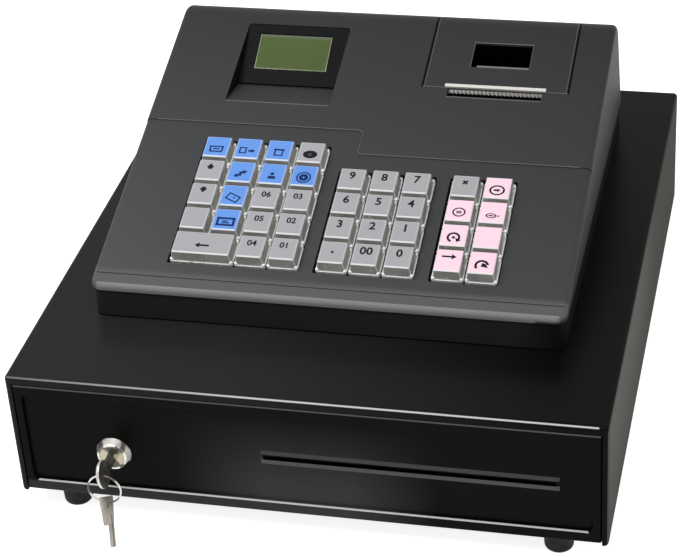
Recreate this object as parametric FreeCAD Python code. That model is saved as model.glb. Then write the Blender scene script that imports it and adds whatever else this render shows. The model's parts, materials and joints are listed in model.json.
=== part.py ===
"""Electronic register with a receipt printer, standing on a steel cash drawer.

Origin: on the counter, under the centre of the drawer's case. x to the right, y to the back, z up.
The register's sloping top has its own frame: x to the right, s up the slope from the front edge, and
h square to the slope.
"""
import FreeCAD, Part
import math
import os

# Steel case of the drawer
case_width = 410.0
case_depth = 450.0
case_height = 97.0
case_sheet = 1.2
case_corner = 3.0
front_lip_side = 4.5
front_lip_top = 6.0
bottom_setback = 4.0

# Rubber feet
foot_height = 15.5
foot_radius = 10.8
foot_toe_radius = 9.8
foot_edge = 3.0
foot_side_inset = 35.0
foot_end_inset = 15.0

# Welded runners and the drawer's flanges
runner_reach = 8.4
runner_lift = 19.4
runner_end_gap = 15.0
flange_sheet = 1.2
flange_slack = 0.4

# Sliding drawer
drawer_sheet = 1.2
drawer_side_gap = 9.0
drawer_floor_lift = 5.0
drawer_wall_height = 56.0
drawer_depth = 361.0

# Drawer front
front_thickness = 14.0
front_gap = 0.8
front_bottom_lift = 1.6
front_edge_radius = 1.2
panel_sink = 3.0
panel_side_rim = 5.2
panel_top_rim = 7.2
panel_bottom_rim = 8.4
panel_corner = 5.0
panel_edge_radius = 0.8

# Slot for slips of paper in the drawer front
slot_side_inset = 35.0
slot_length = 197.0
slot_centre_lift = 46.0
slot_opening = 3.2
slot_rim_height = 11.3
slot_rim_reach = 2.5
slot_rim_proud = 0.8
slot_rim_land = 0.4

# Lock, key and ring
lock_side_inset = 71.0
lock_lift = 38.0
lock_rest_turn = 10.0
barrel_base_radius = 12.3
barrel_face_radius = 10.3
barrel_proud = 5.5
barrel_body_radius = 9.4
barrel_body_length = 24.0
barrel_nut_size = 24.0
barrel_nut_thickness = 4.0
barrel_hole_slack = 0.2
plug_head_radius = 8.6
plug_head_thickness = 1.6
plug_head_sink = 0.5
plug_radius = 6.0
plug_slack = 0.06
plug_head_slack = 0.2
plug_tail = 6.0
cam_thickness = 2.5
cam_width = 9.0
cam_length = 24.0
keyway_width = 2.4
keyway_height = 8.8
keyway_depth = 20.0
key_thickness = 2.0
key_blade_height = 8.4
key_blade_length = 18.0
key_neck = 5.5
key_bow_radius = 12.5
key_hole_radius = 2.8
key_hole_offset = 2.0
ring_radius = 11.5
ring_wire = 0.9
spare_bow_radius = 9.0
spare_blade_width = 6.5
spare_blade_length = 18.5
spare_hole_edge = 3.9
spare_lean = 33.0
spare_turn = 14.0
spare_sway = 12.0
ring_play = 1.0
spare_hang_gap = 0.3

# Cash tray
tray_wall = 2.0
tray_side_gap = 3.0
tray_front_gap = 32.0
tray_back_gap = 3.5
tray_height = 50.0
coin_cup_depth = 104.0
coin_cup_lift = 12.0
tray_columns = 5
tray_corner = 4.0

# Register's outline
register_width = 333.0
register_front = -146.0
register_back = 174.5
deck_angle = 16.0
back_lean = 18.0
deck_front_height = 26.8
split_height = 22.2
base_inset = 1.2
base_wall = 2.5
cover_wall = 2.6
plan_corner = 9.0
rim_radius = 4.0
back_radius = 20.0
cavity_corner = 6.4

# Raised printer and display panel, seam and groove
panel_step = 1.2
step_edge = 0.8
seam_left_s = 161.5
seam_right_s = 138.0
seam_jog_x = -2.5
seam_jog_radius = 3.0
groove_s = 10.7
groove_width = 0.9
groove_depth = 0.7

# Keyboard
key_pitch_x = 23.2
key_pitch_s = 23.1
key_row_s = 37.2
function_centre_x = -68.4
number_centre_x = 24.2
control_centre_x = 93.4
cutout_left = 1.5
cutout_right = 0.3
cutout_front = 1.2
cutout_back = 3.2
cutout_corner = 1.5
key_gap = 1.0
key_top_size = 18.4
key_corner = 1.3
key_top_corner = 1.0
key_rise = 8.8
key_skirt_drop = 2.0
key_skirt_lip = 1.2
key_wall = 1.4
key_stem_radius = 3.0
key_travel = 3.2
key_bottom_gap = 0.5
guide_plate = 2.5
guide_wall = 1.6
guide_margin = 3.0
stem_slack = 0.3
stem_foot_radius = 4.2
stem_foot_thickness = 1.2

# Display well, bezel and display
well_left = -111.5
well_right = -32.2
well_bottom_s = 186.5
well_ledge_s = 215.7
well_top_s = 268.5
well_depth = 13.0
well_top_depth = 1.4
well_corner = 2.5
bezel_thickness = 2.0
bezel_gap = 0.4
lcd_left = -101.3
lcd_right = -44.8
lcd_bottom = 14.0
lcd_height = 32.0
lcd_sink = 0.8
lcd_margin = 4.0
lcd_thickness = 6.0

# Printer lid, its window and the tear bar
lid_left = 32.6
lid_right = 140.6
lid_front_s = 209.2
lid_gap = 1.2
lid_wall = 2.4
lid_hinge_lift = 85.0
window_left = 65.0
window_right = 108.3
window_front_s = 235.4
window_back_s = 259.0
window_notch = 4.5
window_notch_depth = 2.8
window_edge = 0.8
window_lip = 2.8
window_lip_drop = 1.2
exit_left = 52.0
exit_right = 121.6
exit_front_s = 201.2
tear_left = 49.8
tear_right = 124.1
tear_depth = 3.0
tear_rise = 1.4

# Lid hinge
hinge_proud = 2.5
knuckle_radius = 3.5
knuckle_slack = 0.4
lid_knuckle_left = 60.0
lid_knuckle_right = 113.2
ear_length = 10.0
ear_gap = 0.4
pin_radius = 1.5
pin_slack = 0.06
pin_length = 8.0

# Platen roller and its lugs
platen_s = 217.5
platen_drop = 9.0
platen_radius = 5.0
platen_left = 57.8
platen_right = 115.4
shaft_radius = 2.0
shaft_slack = 0.06
shaft_overhang = 1.5
lug_thickness = 3.0
lug_gap = 0.6
lug_reach = 3.6

# Paper roll and printer mechanism
roll_radius = 23.5
roll_core_radius = 6.5
roll_y = 97.0
roll_lift = 55.0
roll_side_gap = 0.5
bucket_slack = 0.4
bucket_wall = 2.5
head_depth = 15.0
head_gap = 0.4
leg_thickness = 3.0

# Circuit board, sockets and bosses
board_left = -140.0
board_right = 28.0
board_front = 64.0
board_thickness = 1.6
board_end_gap = 1.0
boss_radius = 4.0
boss_height = 4.0
boss_inset = 9.0
socket_reach = 4.0
socket_slack = 0.4
jack_width = 12.0
jack_height = 11.0
jack_depth = 16.0
jack_bore = 3.2
port_width = 16.0
port_height = 11.0
port_depth = 18.0
port_mouth_width = 11.0
port_mouth_height = 7.0
serial_width = 31.0
chip_size = 22.0
chip_height = 3.0
can_radius = 6.0
can_height = 14.0
jack_share = 0.10
port_share = 0.36
serial_share = 0.70
chip_shares = ((0.30, 0.35), (0.62, 0.42))
can_shares = ((0.14, 0.55), (0.86, 0.30), (0.86, 0.55))

overrun = 5.0
near = 1.0
far = 600.0

# Places worked out from the sizes above
case_bottom = foot_height
case_top = foot_height + case_height
half_case = case_width / 2
case_front = -case_depth / 2
case_back = case_depth / 2
split_z = case_top + split_height
half_register = register_width / 2
slope = math.radians(deck_angle)
lean = math.radians(back_lean)
deck_front_z = case_top + deck_front_height

Vector = FreeCAD.Vector


def box(x0, x1, y0, y1, z0, z1):
    """A box between two corners."""
    return Part.makeBox(x1 - x0, y1 - y0, z1 - z0, Vector(x0, y0, z0))


def rod_x(y, z, x0, x1, radius):
    """A cylinder along x."""
    return Part.makeCylinder(radius, x1 - x0, Vector(x0, y, z), Vector(1, 0, 0))


def rod_y(x, z, y0, y1, radius):
    """A cylinder along y."""
    return Part.makeCylinder(radius, y1 - y0, Vector(x, y0, z), Vector(0, 1, 0))


def rod_z(x, y, z0, z1, radius):
    """A cylinder along z."""
    return Part.makeCylinder(radius, z1 - z0, Vector(x, y, z0), Vector(0, 0, 1))


def profile_x(points, x0, x1):
    """A solid whose outline is given by its (y, z) corners, drawn along x."""
    corners = [Vector(x0, y, z) for y, z in points]
    wire = Part.makePolygon(corners + corners[:1])
    return Part.Face(wire).extrude(Vector(x1 - x0, 0, 0))


def runs_along(edge, axis):
    """True for an edge that lies only along one axis: 0 for x, 1 for y, 2 for z."""
    bounds = edge.BoundBox
    spans = [bounds.XLength, bounds.YLength, bounds.ZLength]
    along = spans.pop(axis)
    return along > 1000 * max(spans) and along > 0


def rounded(shape, radius, wanted):
    """The shape with a fillet on each edge that the test picks."""
    return shape.makeFillet(radius, [edge for edge in shape.Edges if wanted(edge)])


def fused(shapes):
    """One solid from touching or overlapping solids."""
    return shapes[0].multiFuse(shapes[1:]).removeSplitter()


def deck_to_world(x, s, h):
    """The point of the part's frame for a point of the sloping top's frame."""
    y = register_front + s * math.cos(slope) - h * math.sin(slope)
    z = deck_front_z + s * math.sin(slope) + h * math.cos(slope)
    return Vector(x, y, z)


def deck_height(point):
    """Height of a point over the sloping top, square to it."""
    return (point.z - deck_front_z) * math.cos(slope) - (point.y - register_front) * math.sin(slope)


def on_deck(shape):
    """Moves a solid drawn in the sloping top's frame to its place."""
    turn = FreeCAD.Rotation(Vector(1, 0, 0), deck_angle)
    moved = shape.copy()
    moved.Placement = FreeCAD.Placement(deck_to_world(0, 0, 0), turn).multiply(moved.Placement)
    return moved


def back_wall_y(z, inset):
    """Where the register's leaning back lies at a height."""
    return register_back - (z - case_top) * math.tan(lean) - inset / math.cos(lean)


def loft_block(size_x, size_s, corner, bottom, top_x, top_s, top_corner, top):
    """A block with rounded corners that tapers from one rounded rectangle to another."""
    wires = [
        rounded_rectangle(size_x, size_s, corner, bottom),
        rounded_rectangle(top_x, top_s, top_corner, top),
    ]
    return Part.makeLoft(wires, True, True)


def rounded_rectangle(width, depth, corner, h):
    """A wire round the origin at height h."""
    a = width / 2
    b = depth / 2
    r = corner
    k = r * (1 - math.sqrt(0.5))
    corners = [(1, 1), (-1, 1), (-1, -1), (1, -1)]
    edges = []
    for index, (i, j) in enumerate(corners):
        first = Vector(i * a, j * (b - r), h)
        middle = Vector(i * (a - k), j * (b - k), h)
        last = Vector(i * (a - r), j * b, h)
        if i * j < 0:
            first, last = last, first
        edges.append(Part.Arc(first, middle, last).toShape())
        after = corners[(index + 1) % 4]
        start = last
        if after[0] * after[1] > 0:
            end = Vector(after[0] * a, after[1] * (b - r), h)
        else:
            end = Vector(after[0] * (a - r), after[1] * b, h)
        edges.append(Part.makeLine(start, end))
    return Part.Wire(edges)


# Cash drawer

def drawer_case():
    """Folded steel case: a box open at the front, with lips, legs and two welded runners."""
    outer = box(-half_case, half_case, case_front, case_back, case_bottom, case_top)

    def outside_edge(edge):
        middle = edge.BoundBox.Center
        return runs_along(edge, 1) or runs_along(edge, 2) or middle.z > case_bottom + case_sheet

    outer = rounded(outer, case_corner, outside_edge)
    inner = box(-half_case + case_sheet, half_case - case_sheet, case_front + case_sheet,
                case_back - case_sheet, case_bottom + case_sheet, case_top - case_sheet)
    shell = outer.cut(inner)
    mouth = box(-half_case + front_lip_side, half_case - front_lip_side, case_front - overrun,
                case_front + case_sheet + overrun, case_bottom + case_sheet, case_top - front_lip_top)
    toe_gap = box(-half_case + front_lip_side, half_case - front_lip_side, case_front - overrun,
                  case_front + bottom_setback, case_bottom - overrun, case_bottom + case_sheet + overrun)
    shell = shell.cut(mouth).cut(toe_gap)
    pieces = [shell]
    for side in (-1, 1):
        wall = side * (half_case - case_sheet)
        tip = side * (half_case - case_sheet - runner_reach)
        for z in runner_levels():
            pieces.append(box(min(wall, tip), max(wall, tip), case_front + runner_end_gap,
                              case_back - case_sheet, z, z + case_sheet))
    return fused(pieces)


def runner_levels():
    """Undersides of the lower and the upper ledge of a runner."""
    lower = case_bottom + runner_lift
    upper = lower + case_sheet + flange_sheet + 2 * flange_slack
    return lower, upper


def rubber_feet():
    """Four tapered rubber feet with rounded toes."""
    feet = []
    for side in (-1, 1):
        for end in (-1, 1):
            x = side * (half_case - foot_side_inset)
            y = end * (case_depth / 2 - foot_end_inset)
            foot = Part.makeCone(foot_toe_radius, foot_radius, foot_height, Vector(x, y, 0))
            feet.append(rounded(foot, foot_edge, lambda edge: edge.BoundBox.ZMax < foot_edge / 2))
    return Part.makeCompound(feet)


half_drawer = half_case - case_sheet - drawer_side_gap
drawer_front_y = case_front + front_thickness
drawer_back_y = drawer_front_y + drawer_depth
drawer_floor = case_bottom + drawer_floor_lift
slot_right = half_case - slot_side_inset
slot_left = slot_right - slot_length
slot_z = case_bottom + slot_centre_lift
lock_x = lock_side_inset - half_case
lock_z = case_bottom + lock_lift
panel_y = case_front + panel_sink


def drawer_box():
    """Sliding steel drawer with flanges that run in the case's runners."""
    top = drawer_floor + drawer_wall_height
    outer = box(-half_drawer, half_drawer, drawer_front_y, drawer_back_y, drawer_floor, top)
    inner = box(-half_drawer + drawer_sheet, half_drawer - drawer_sheet, drawer_front_y + drawer_sheet,
                drawer_back_y - drawer_sheet, drawer_floor + drawer_sheet, top + overrun)
    pieces = [outer.cut(inner)]
    level = runner_levels()[0] + case_sheet + flange_slack
    reach = half_case - front_lip_side - front_gap
    for side in (-1, 1):
        pieces.append(box(min(side * half_drawer, side * reach), max(side * half_drawer, side * reach),
                          drawer_front_y + overrun, drawer_back_y, level, level + flange_sheet))
    shape = fused(pieces)
    lock_hole = rod_y(lock_x, lock_z, drawer_front_y - overrun, drawer_front_y + overrun,
                      barrel_nut_size / 2 + 2 * drawer_sheet)
    slot = box(slot_left, slot_right, drawer_front_y - overrun, drawer_front_y + overrun,
               slot_z - slot_opening / 2, slot_z + slot_opening / 2)
    return shape.cut(lock_hole).cut(slot)


def drawer_front():
    """Moulded front with a sunk panel, the slip slot and the lock's hole."""
    half = half_case - front_lip_side - front_gap
    bottom = case_bottom + front_bottom_lift
    top = case_top - front_lip_top - front_gap
    body = box(-half, half, case_front, drawer_front_y, bottom, top)
    body = rounded(body, front_edge_radius,
                   lambda edge: edge.BoundBox.YMax < case_front + front_edge_radius)
    sunk_half = half - panel_side_rim
    sunk = box(-sunk_half, sunk_half, case_front - overrun, panel_y,
               bottom + panel_bottom_rim, top - panel_top_rim)
    sunk = rounded(sunk, panel_corner, lambda edge: runs_along(edge, 1))
    body = body.cut(sunk)
    body = rounded(body, panel_edge_radius, lambda edge: around_panel(edge, sunk_half, top - panel_top_rim))
    slit = box(slot_left, slot_right, case_front, drawer_front_y + overrun,
               slot_z - slot_opening / 2, slot_z + slot_opening / 2)
    hole = rod_y(lock_x, lock_z, case_front, drawer_front_y + overrun,
                 barrel_body_radius + barrel_hole_slack)
    return fused([body, slot_rim()]).cut(slit).cut(hole)


def slot_rim():
    """Low rim round the slip slot that slopes up to it on all four sides."""
    wires = []
    for y, grow, height in [(panel_y, slot_rim_reach, slot_rim_height),
                            (panel_y - slot_rim_proud, slot_rim_land, slot_opening + 2 * slot_rim_land)]:
        left = slot_left - grow
        right = slot_right + grow
        bottom = slot_z - height / 2
        top = slot_z + height / 2
        corners = [Vector(left, y, bottom), Vector(right, y, bottom), Vector(right, y, top),
                   Vector(left, y, top)]
        wires.append(Part.makePolygon(corners + corners[:1]))
    return Part.makeLoft(wires, True, True)


def around_panel(edge, half, top):
    """True for an edge of the front face round the sunk panel."""
    bounds = edge.BoundBox
    inside = max(-bounds.XMin, bounds.XMax) < half + near and bounds.ZMax < top + near
    return bounds.YMax < case_front + front_edge_radius / 2 and inside and bounds.ZMin > case_bottom + near


def cash_tray():
    """Moulded tray: coin cups in front and note compartments behind."""
    half = half_drawer - drawer_sheet - tray_side_gap
    front = drawer_front_y + tray_front_gap
    back = drawer_back_y - drawer_sheet - tray_back_gap
    floor = drawer_floor + drawer_sheet
    top = floor + tray_height
    shape = box(-half, half, front, back, floor, top)
    shape = rounded(shape, tray_corner, lambda edge: runs_along(edge, 2))
    width = (2 * half - (tray_columns + 1) * tray_wall) / tray_columns
    cup_back = front + tray_wall + coin_cup_depth
    for column in range(tray_columns):
        left = -half + tray_wall + column * (width + tray_wall)
        cup = box(left, left + width, front + tray_wall, cup_back, floor + coin_cup_lift, top + overrun)
        cup = rounded(cup, coin_cup_lift, lambda edge: edge.BoundBox.ZMax < floor + 2 * coin_cup_lift
                      and runs_along(edge, 0))
        notes = box(left, left + width, cup_back + tray_wall, back - tray_wall,
                    floor + tray_wall, top + overrun)
        shape = shape.cut(cup).cut(notes)
    return shape


# Lock, key and ring

barrel_face_y = panel_y - barrel_proud
plug_face_y = barrel_face_y + plug_head_sink
barrel_end_y = panel_y + barrel_body_length
key_bow_y = plug_face_y - key_neck - key_bow_radius
ring_y = key_bow_y - key_hole_offset - ring_play


def at_rest_turn(shape):
    """The shape as the lock stands at rest, turned a little from upright."""
    shape.rotate(Vector(lock_x, 0, lock_z), Vector(0, 1, 0), -lock_rest_turn)
    return shape


def lock_barrel():
    """Chrome lock body with its tapered collar and a hexagonal nut behind the front."""
    collar = Part.makeCone(barrel_face_radius, barrel_base_radius, barrel_proud,
                           Vector(lock_x, barrel_face_y, lock_z), Vector(0, 1, 0))
    collar = rounded(collar, plug_head_sink * 2,
                     lambda edge: edge.BoundBox.YMax < barrel_face_y + plug_head_sink)
    body = rod_y(lock_x, lock_z, panel_y, barrel_end_y, barrel_body_radius)
    corners = []
    for turn in range(7):
        angle = math.radians(60 * turn)
        corners.append(Vector(lock_x + barrel_nut_size / 2 * math.cos(angle), drawer_front_y,
                              lock_z + barrel_nut_size / 2 * math.sin(angle)))
    nut = Part.Face(Part.makePolygon(corners)).extrude(Vector(0, barrel_nut_thickness, 0))
    shape = fused([collar, body, nut])
    bore = rod_y(lock_x, lock_z, barrel_face_y - overrun, barrel_end_y + overrun, plug_radius + plug_slack)
    sink_end = plug_face_y + plug_head_thickness + plug_head_slack
    sink = rod_y(lock_x, lock_z, barrel_face_y - overrun, sink_end, plug_head_radius + plug_head_slack)
    return shape.cut(bore).cut(sink)


def lock_plug():
    """Turning plug with its head, keyway and the cam on its tail."""
    head = rod_y(lock_x, lock_z, plug_face_y, plug_face_y + plug_head_thickness, plug_head_radius)
    end = barrel_end_y + plug_tail
    stem = rod_y(lock_x, lock_z, plug_face_y, end, plug_radius)
    cam = box(lock_x - cam_width / 2, lock_x + cam_width / 2, end - cam_thickness, end,
              lock_z - plug_radius, lock_z + cam_length)
    cam = rounded(cam, cam_width / 3, lambda edge: runs_along(edge, 1))
    keyway = box(lock_x - keyway_width / 2, lock_x + keyway_width / 2, plug_face_y - overrun,
                 plug_face_y + keyway_depth, lock_z - keyway_height / 2, lock_z + keyway_height / 2)
    return at_rest_turn(fused([head, stem, cam]).cut(keyway))


def flat_key(bow_radius, blade_width, blade_length, neck, hole_from_centre):
    """A flat key: bow round the origin, blade along +y, hole towards -y."""
    half = key_thickness / 2
    bow = rod_x(0, 0, -half, half, bow_radius)
    blade_end = bow_radius + neck + blade_length
    tip = blade_width / 4
    outline = [(0, -blade_width / 2), (blade_end - tip, -blade_width / 2), (blade_end, -tip),
               (blade_end, tip), (blade_end - tip, blade_width / 2), (0, blade_width / 2)]
    blade = profile_x(outline, -half, half)
    hole = rod_x(-hole_from_centre, 0, -half - overrun, half + overrun, key_hole_radius)
    return fused([bow, blade]).cut(hole)


def lock_key():
    """The key that stands in the plug, with its bow upright."""
    shape = flat_key(key_bow_radius, key_blade_height, key_blade_length, key_neck, key_hole_offset)
    shape.translate(Vector(lock_x, key_bow_y, lock_z))
    return at_rest_turn(shape)


def key_ring():
    """Split ring through the key's hole, drawn as one closed ring."""
    centre = Vector(lock_x, ring_y, lock_z - ring_radius)
    return Part.makeTorus(ring_radius, ring_wire, centre, Vector(0, 1, 0))


def spare_key():
    """Second key, hanging from the bottom of the ring with its tip near the counter."""
    hole = spare_bow_radius - spare_hole_edge
    hang = key_hole_radius - ring_wire - spare_hang_gap
    shape = flat_key(spare_bow_radius, spare_blade_width, spare_blade_length, 0, hole)
    shape.translate(Vector(0, hole + hang, 0))
    shape.rotate(Vector(0, 0, 0), Vector(0, 1, 0), spare_turn)
    shape.rotate(Vector(0, 0, 0), Vector(1, 0, 0), -90 - spare_lean)
    shape.rotate(Vector(0, 0, 0), Vector(0, 1, 0), -spare_sway)
    shape.translate(Vector(lock_x, ring_y, lock_z - 2 * ring_radius))
    return shape


# Register shells

def register_envelope(inset, lift, bottom, corner, rim, back):
    """The register's outer form, or the same form drawn in by an inset."""
    front = register_front + inset
    tangent = math.tan(slope)
    deck_zero = deck_front_z - register_front * tangent + (lift - inset) / math.cos(slope)
    fall = math.tan(lean)
    back_zero = back_wall_y(0, inset)
    top_z = (deck_zero + tangent * back_zero) / (1 + tangent * fall)
    top_y = back_zero - fall * top_z
    points = [(front, bottom), (front, deck_zero + tangent * front), (top_y, top_z),
              (back_zero - fall * bottom, bottom)]
    half = half_register - inset
    shape = profile_x(points, -half, half)
    if corner:
        shape = rounded(shape, corner, lambda edge: runs_along(edge, 2))
    if back:
        shape = rounded(shape, back, lambda edge: edge.BoundBox.ZMin > top_z - near)
    if rim:
        shape = rounded(shape, rim, lambda edge: on_rim(edge, bottom))
    return shape


def on_rim(edge, bottom):
    """True for an edge of the continuous line round the sloping top and down the back."""
    bounds = edge.BoundBox
    if bounds.ZMax < bottom + near:
        return False
    if bounds.XLength > half_register:
        return bounds.YMax < 0
    return not (runs_along(edge, 2) or bounds.XLength > plan_corner + near)


def raised_region():
    """Space of the raised panel: behind the seam with its jog, with a rounded front edge."""
    r = seam_jog_radius
    k = r * (1 - math.sqrt(0.5))
    x = seam_jog_x
    left = -half_register - overrun
    right = half_register + overrun
    s0 = seam_left_s
    s1 = seam_right_s
    h = -far / 2
    edges = [
        Part.makeLine(Vector(left, s0, h), Vector(x - r, s0, h)),
        Part.Arc(Vector(x - r, s0, h), Vector(x - k, s0 - k, h), Vector(x, s0 - r, h)).toShape(),
        Part.makeLine(Vector(x, s0 - r, h), Vector(x, s1 + r, h)),
        Part.Arc(Vector(x, s1 + r, h), Vector(x + k, s1 + k, h), Vector(x + r, s1, h)).toShape(),
        Part.makeLine(Vector(x + r, s1, h), Vector(right, s1, h)),
        Part.makeLine(Vector(right, s1, h), Vector(right, far, h)),
        Part.makeLine(Vector(right, far, h), Vector(left, far, h)),
        Part.makeLine(Vector(left, far, h), Vector(left, s0, h)),
    ]
    region = Part.Face(Part.Wire(edges)).extrude(Vector(0, 0, far / 2 + panel_step))
    region = rounded(region, step_edge, lambda edge: edge.BoundBox.ZMin > 0
                     and edge.BoundBox.YMax < seam_left_s + near)
    return on_deck(region)


def deck_slab(x0, x1, s0, s1, h0, h1):
    """A box drawn in the sloping top's frame."""
    return on_deck(box(x0, x1, s0, s1, h0, h1))


def outer_form():
    """The cover's outer form with its raised panel."""
    low = register_envelope(0, 0, split_z, plan_corner, rim_radius, back_radius)
    high = register_envelope(0, panel_step, split_z, plan_corner, rim_radius, back_radius)
    return fused([low, high.common(raised_region())])


def key_blocks():
    """Each block of keys: name, centre x, columns, rows, and the wide keys."""
    return [
        ("key_function", function_centre_x, 4, 5, True),
        ("key_number", number_centre_x, 3, 4, False),
        ("key_control", control_centre_x, 2, 4, False),
    ]


def block_bounds(centre, columns, rows, margin):
    """Left, right, front and back of the hole for a block of keys, with a margin round it."""
    half = columns * key_pitch_x / 2
    front = key_row_s - key_pitch_s / 2
    back = front + rows * key_pitch_s
    return (centre - half - cutout_left - margin, centre + half + cutout_right + margin,
            front - cutout_front - margin, back + cutout_back + margin)


def display_wedge(grow, lift):
    """Space of the display well: a wedge whose floor faces the reader."""
    slope_in = math.atan2(well_depth - well_top_depth, well_top_s - well_ledge_s)
    ramp = math.atan2(well_depth, well_ledge_s - well_bottom_s)
    points = [
        Vector(0, well_bottom_s - grow / math.sin(ramp) - lift / math.tan(ramp), lift),
        Vector(0, well_ledge_s, -well_depth - grow / math.cos((slope_in + ramp) / 2)),
        Vector(0, well_top_s + grow, -well_top_depth - grow),
        Vector(0, well_top_s + grow, lift),
    ]
    face = Part.Face(Part.makePolygon(points + points[:1]))
    width = well_right - well_left + 2 * grow
    solid = face.extrude(Vector(width, 0, 0))
    solid = rounded(solid, well_corner + grow, lambda edge: runs_along(edge, 2)
                    and edge.BoundBox.YMin > well_top_s + grow - near)
    solid.translate(Vector(well_left - grow, 0, 0))
    return on_deck(solid)


def in_display(shape):
    """Moves a solid from the display's frame (x, up the panel, out of it) to its place."""
    angle = math.degrees(math.atan2(well_depth - well_top_depth, well_top_s - well_ledge_s))
    moved = shape.copy()
    turn = FreeCAD.Rotation(Vector(1, 0, 0), angle)
    place = FreeCAD.Placement(Vector(0, well_ledge_s, -well_depth), turn)
    moved.Placement = place.multiply(moved.Placement)
    return on_deck(moved)


well_length = math.hypot(well_top_s - well_ledge_s, well_depth - well_top_depth)
hinge_z = case_top + lid_hinge_lift
hinge_y = back_wall_y(hinge_z, 0) + hinge_proud


def lid_space(gap):
    """Space of the printer lid: the panel's back right part, round the back edge to the hinge."""
    slab = deck_slab(lid_left + gap, lid_right - gap, lid_front_s + gap, far, -far / 2, far / 2)
    behind = box(-half_register, half_register, hinge_y - back_radius, far, -far, hinge_z + gap)
    return slab.cut(behind)


def register_cover():
    """Upper shell with openings for the keys, display, paper and lid."""
    outer = outer_form()
    inner = register_envelope(cover_wall, 0, split_z - overrun, cavity_corner, 0, back_radius - cover_wall)
    shell = outer.cut(inner)
    well = display_wedge(cover_wall, panel_step + overrun).common(outer)
    shell = fused([shell, well]).cut(display_wedge(0, panel_step + overrun))
    seat = in_display(box(lcd_left - lcd_margin, lcd_right + lcd_margin, lcd_bottom - lcd_margin,
                          lcd_bottom + lcd_height + lcd_margin, -overrun, overrun))
    shell = shell.cut(seat)
    for name, centre, columns, rows, wide in key_blocks():
        left, right, front, back = block_bounds(centre, columns, rows, 0)
        hole = box(left, right, front, back, -overrun, overrun)
        hole = rounded(hole, cutout_corner, lambda edge: runs_along(edge, 2))
        shell = shell.cut(on_deck(hole))
    groove = deck_slab(-far, far, groove_s, groove_s + groove_width, -groove_depth, overrun)
    shell = shell.cut(groove)
    shell = shell.cut(lid_space(0))
    exit_slot = deck_slab(exit_left, exit_right, exit_front_s, lid_front_s + overrun, -overrun, overrun)
    shell = shell.cut(exit_slot)
    relief = rod_x(hinge_y, hinge_z, lid_knuckle_left - ear_gap, lid_knuckle_right + ear_gap,
                   knuckle_radius + knuckle_slack)
    shell = shell.cut(relief)
    ears = []
    for start in (lid_knuckle_left - ear_gap - ear_length, lid_knuckle_right + ear_gap):
        ears.append(rod_x(hinge_y, hinge_z, start, start + ear_length, knuckle_radius))
    shell = fused([shell] + ears)
    bore = rod_x(hinge_y, hinge_z, lid_knuckle_left - far, lid_knuckle_right + far, pin_radius + pin_slack)
    return shell.cut(bore)


def around_window(edge):
    """True for an edge of the lid's face round its window."""
    bounds = edge.BoundBox
    if bounds.XMin < window_left - near or bounds.XMax > window_right + near:
        return False
    return all(abs(deck_height(vertex.Point) - panel_step) < near / 10 for vertex in edge.Vertexes)


def printer_lid():
    """Lid cut from the same form as the cover, with its window, lugs and hinge knuckle."""
    form = outer_form()
    inner = register_envelope(lid_wall, panel_step, split_z - overrun, cavity_corner, 0,
                              back_radius - lid_wall)
    shell = form.cut(inner).common(lid_space(lid_gap / 2))
    window = deck_slab(window_left, window_right, window_front_s, window_back_s, -overrun, overrun)
    notch = deck_slab(window_left, window_left + window_notch, window_front_s - window_notch_depth,
                      window_front_s + overrun, -overrun, overrun)
    shell = rounded(shell.cut(window).cut(notch), window_edge, around_window)
    lip_points = [(window_front_s - window_lip, panel_step),
                  (window_front_s - window_lip, panel_step + overrun),
                  (window_front_s + near, panel_step + overrun),
                  (window_front_s + near, panel_step - window_lip_drop)]
    shell = shell.cut(on_deck(profile_x(lip_points, window_left + window_notch, window_right)))
    for start in (lid_knuckle_left - ear_gap - ear_length, lid_knuckle_right + ear_gap):
        relief = rod_x(hinge_y, hinge_z, start - ear_gap, start + ear_length + ear_gap,
                       knuckle_radius + knuckle_slack)
        shell = shell.cut(relief)
    knuckle = rod_x(hinge_y, hinge_z, lid_knuckle_left, lid_knuckle_right, knuckle_radius)
    pin = rod_x(hinge_y, hinge_z, lid_knuckle_left - pin_length, lid_knuckle_right + pin_length, pin_radius)
    pieces = [shell, knuckle, pin]
    underside = panel_step - lid_wall
    for start in lug_starts():
        lug = box(start, start + lug_thickness, lid_front_s + lid_gap, platen_s + lug_reach,
                  -platen_drop - lug_reach, underside + lid_wall / 2)
        pieces.append(on_deck(lug))
    centre = deck_to_world(0, platen_s, -platen_drop)
    bore = rod_x(centre.y, centre.z, platen_left - far, platen_right + far, shaft_radius + shaft_slack)
    keep = deck_slab(exit_left - overrun, exit_right + overrun, exit_front_s,
                     platen_s + 2 * lug_reach, -far, underside)
    return fused(pieces).cut(bore.common(keep))


def lug_starts():
    """Left faces of the two lugs that carry the platen roller."""
    return platen_left - lug_gap - lug_thickness, platen_right + lug_gap


def tear_bar():
    """Bright metal bar on the lid's front edge."""
    start = lid_front_s + lid_gap / 2
    return deck_slab(tear_left, tear_right, start, start + tear_depth, panel_step, panel_step + tear_rise)


def platen_roller():
    """Rubber roller on a steel shaft, drawn as one turned piece."""
    centre = deck_to_world(0, platen_s, -platen_drop)
    start = lug_starts()[0] - shaft_overhang
    end = lug_starts()[1] + lug_thickness + shaft_overhang
    roller = rod_x(centre.y, centre.z, platen_left, platen_right, platen_radius)
    shaft = rod_x(centre.y, centre.z, start, end, shaft_radius)
    return fused([roller, shaft])


roll_z = case_top + roll_lift
base_floor = case_top + base_wall


def paper_roll():
    """Receipt roll with its core hole."""
    left = platen_left + roll_side_gap / 2
    right = platen_right - roll_side_gap / 2
    roll = rod_x(roll_y, roll_z, left, right, roll_radius)
    return roll.cut(rod_x(roll_y, roll_z, left - overrun, right + overrun, roll_core_radius))


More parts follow.
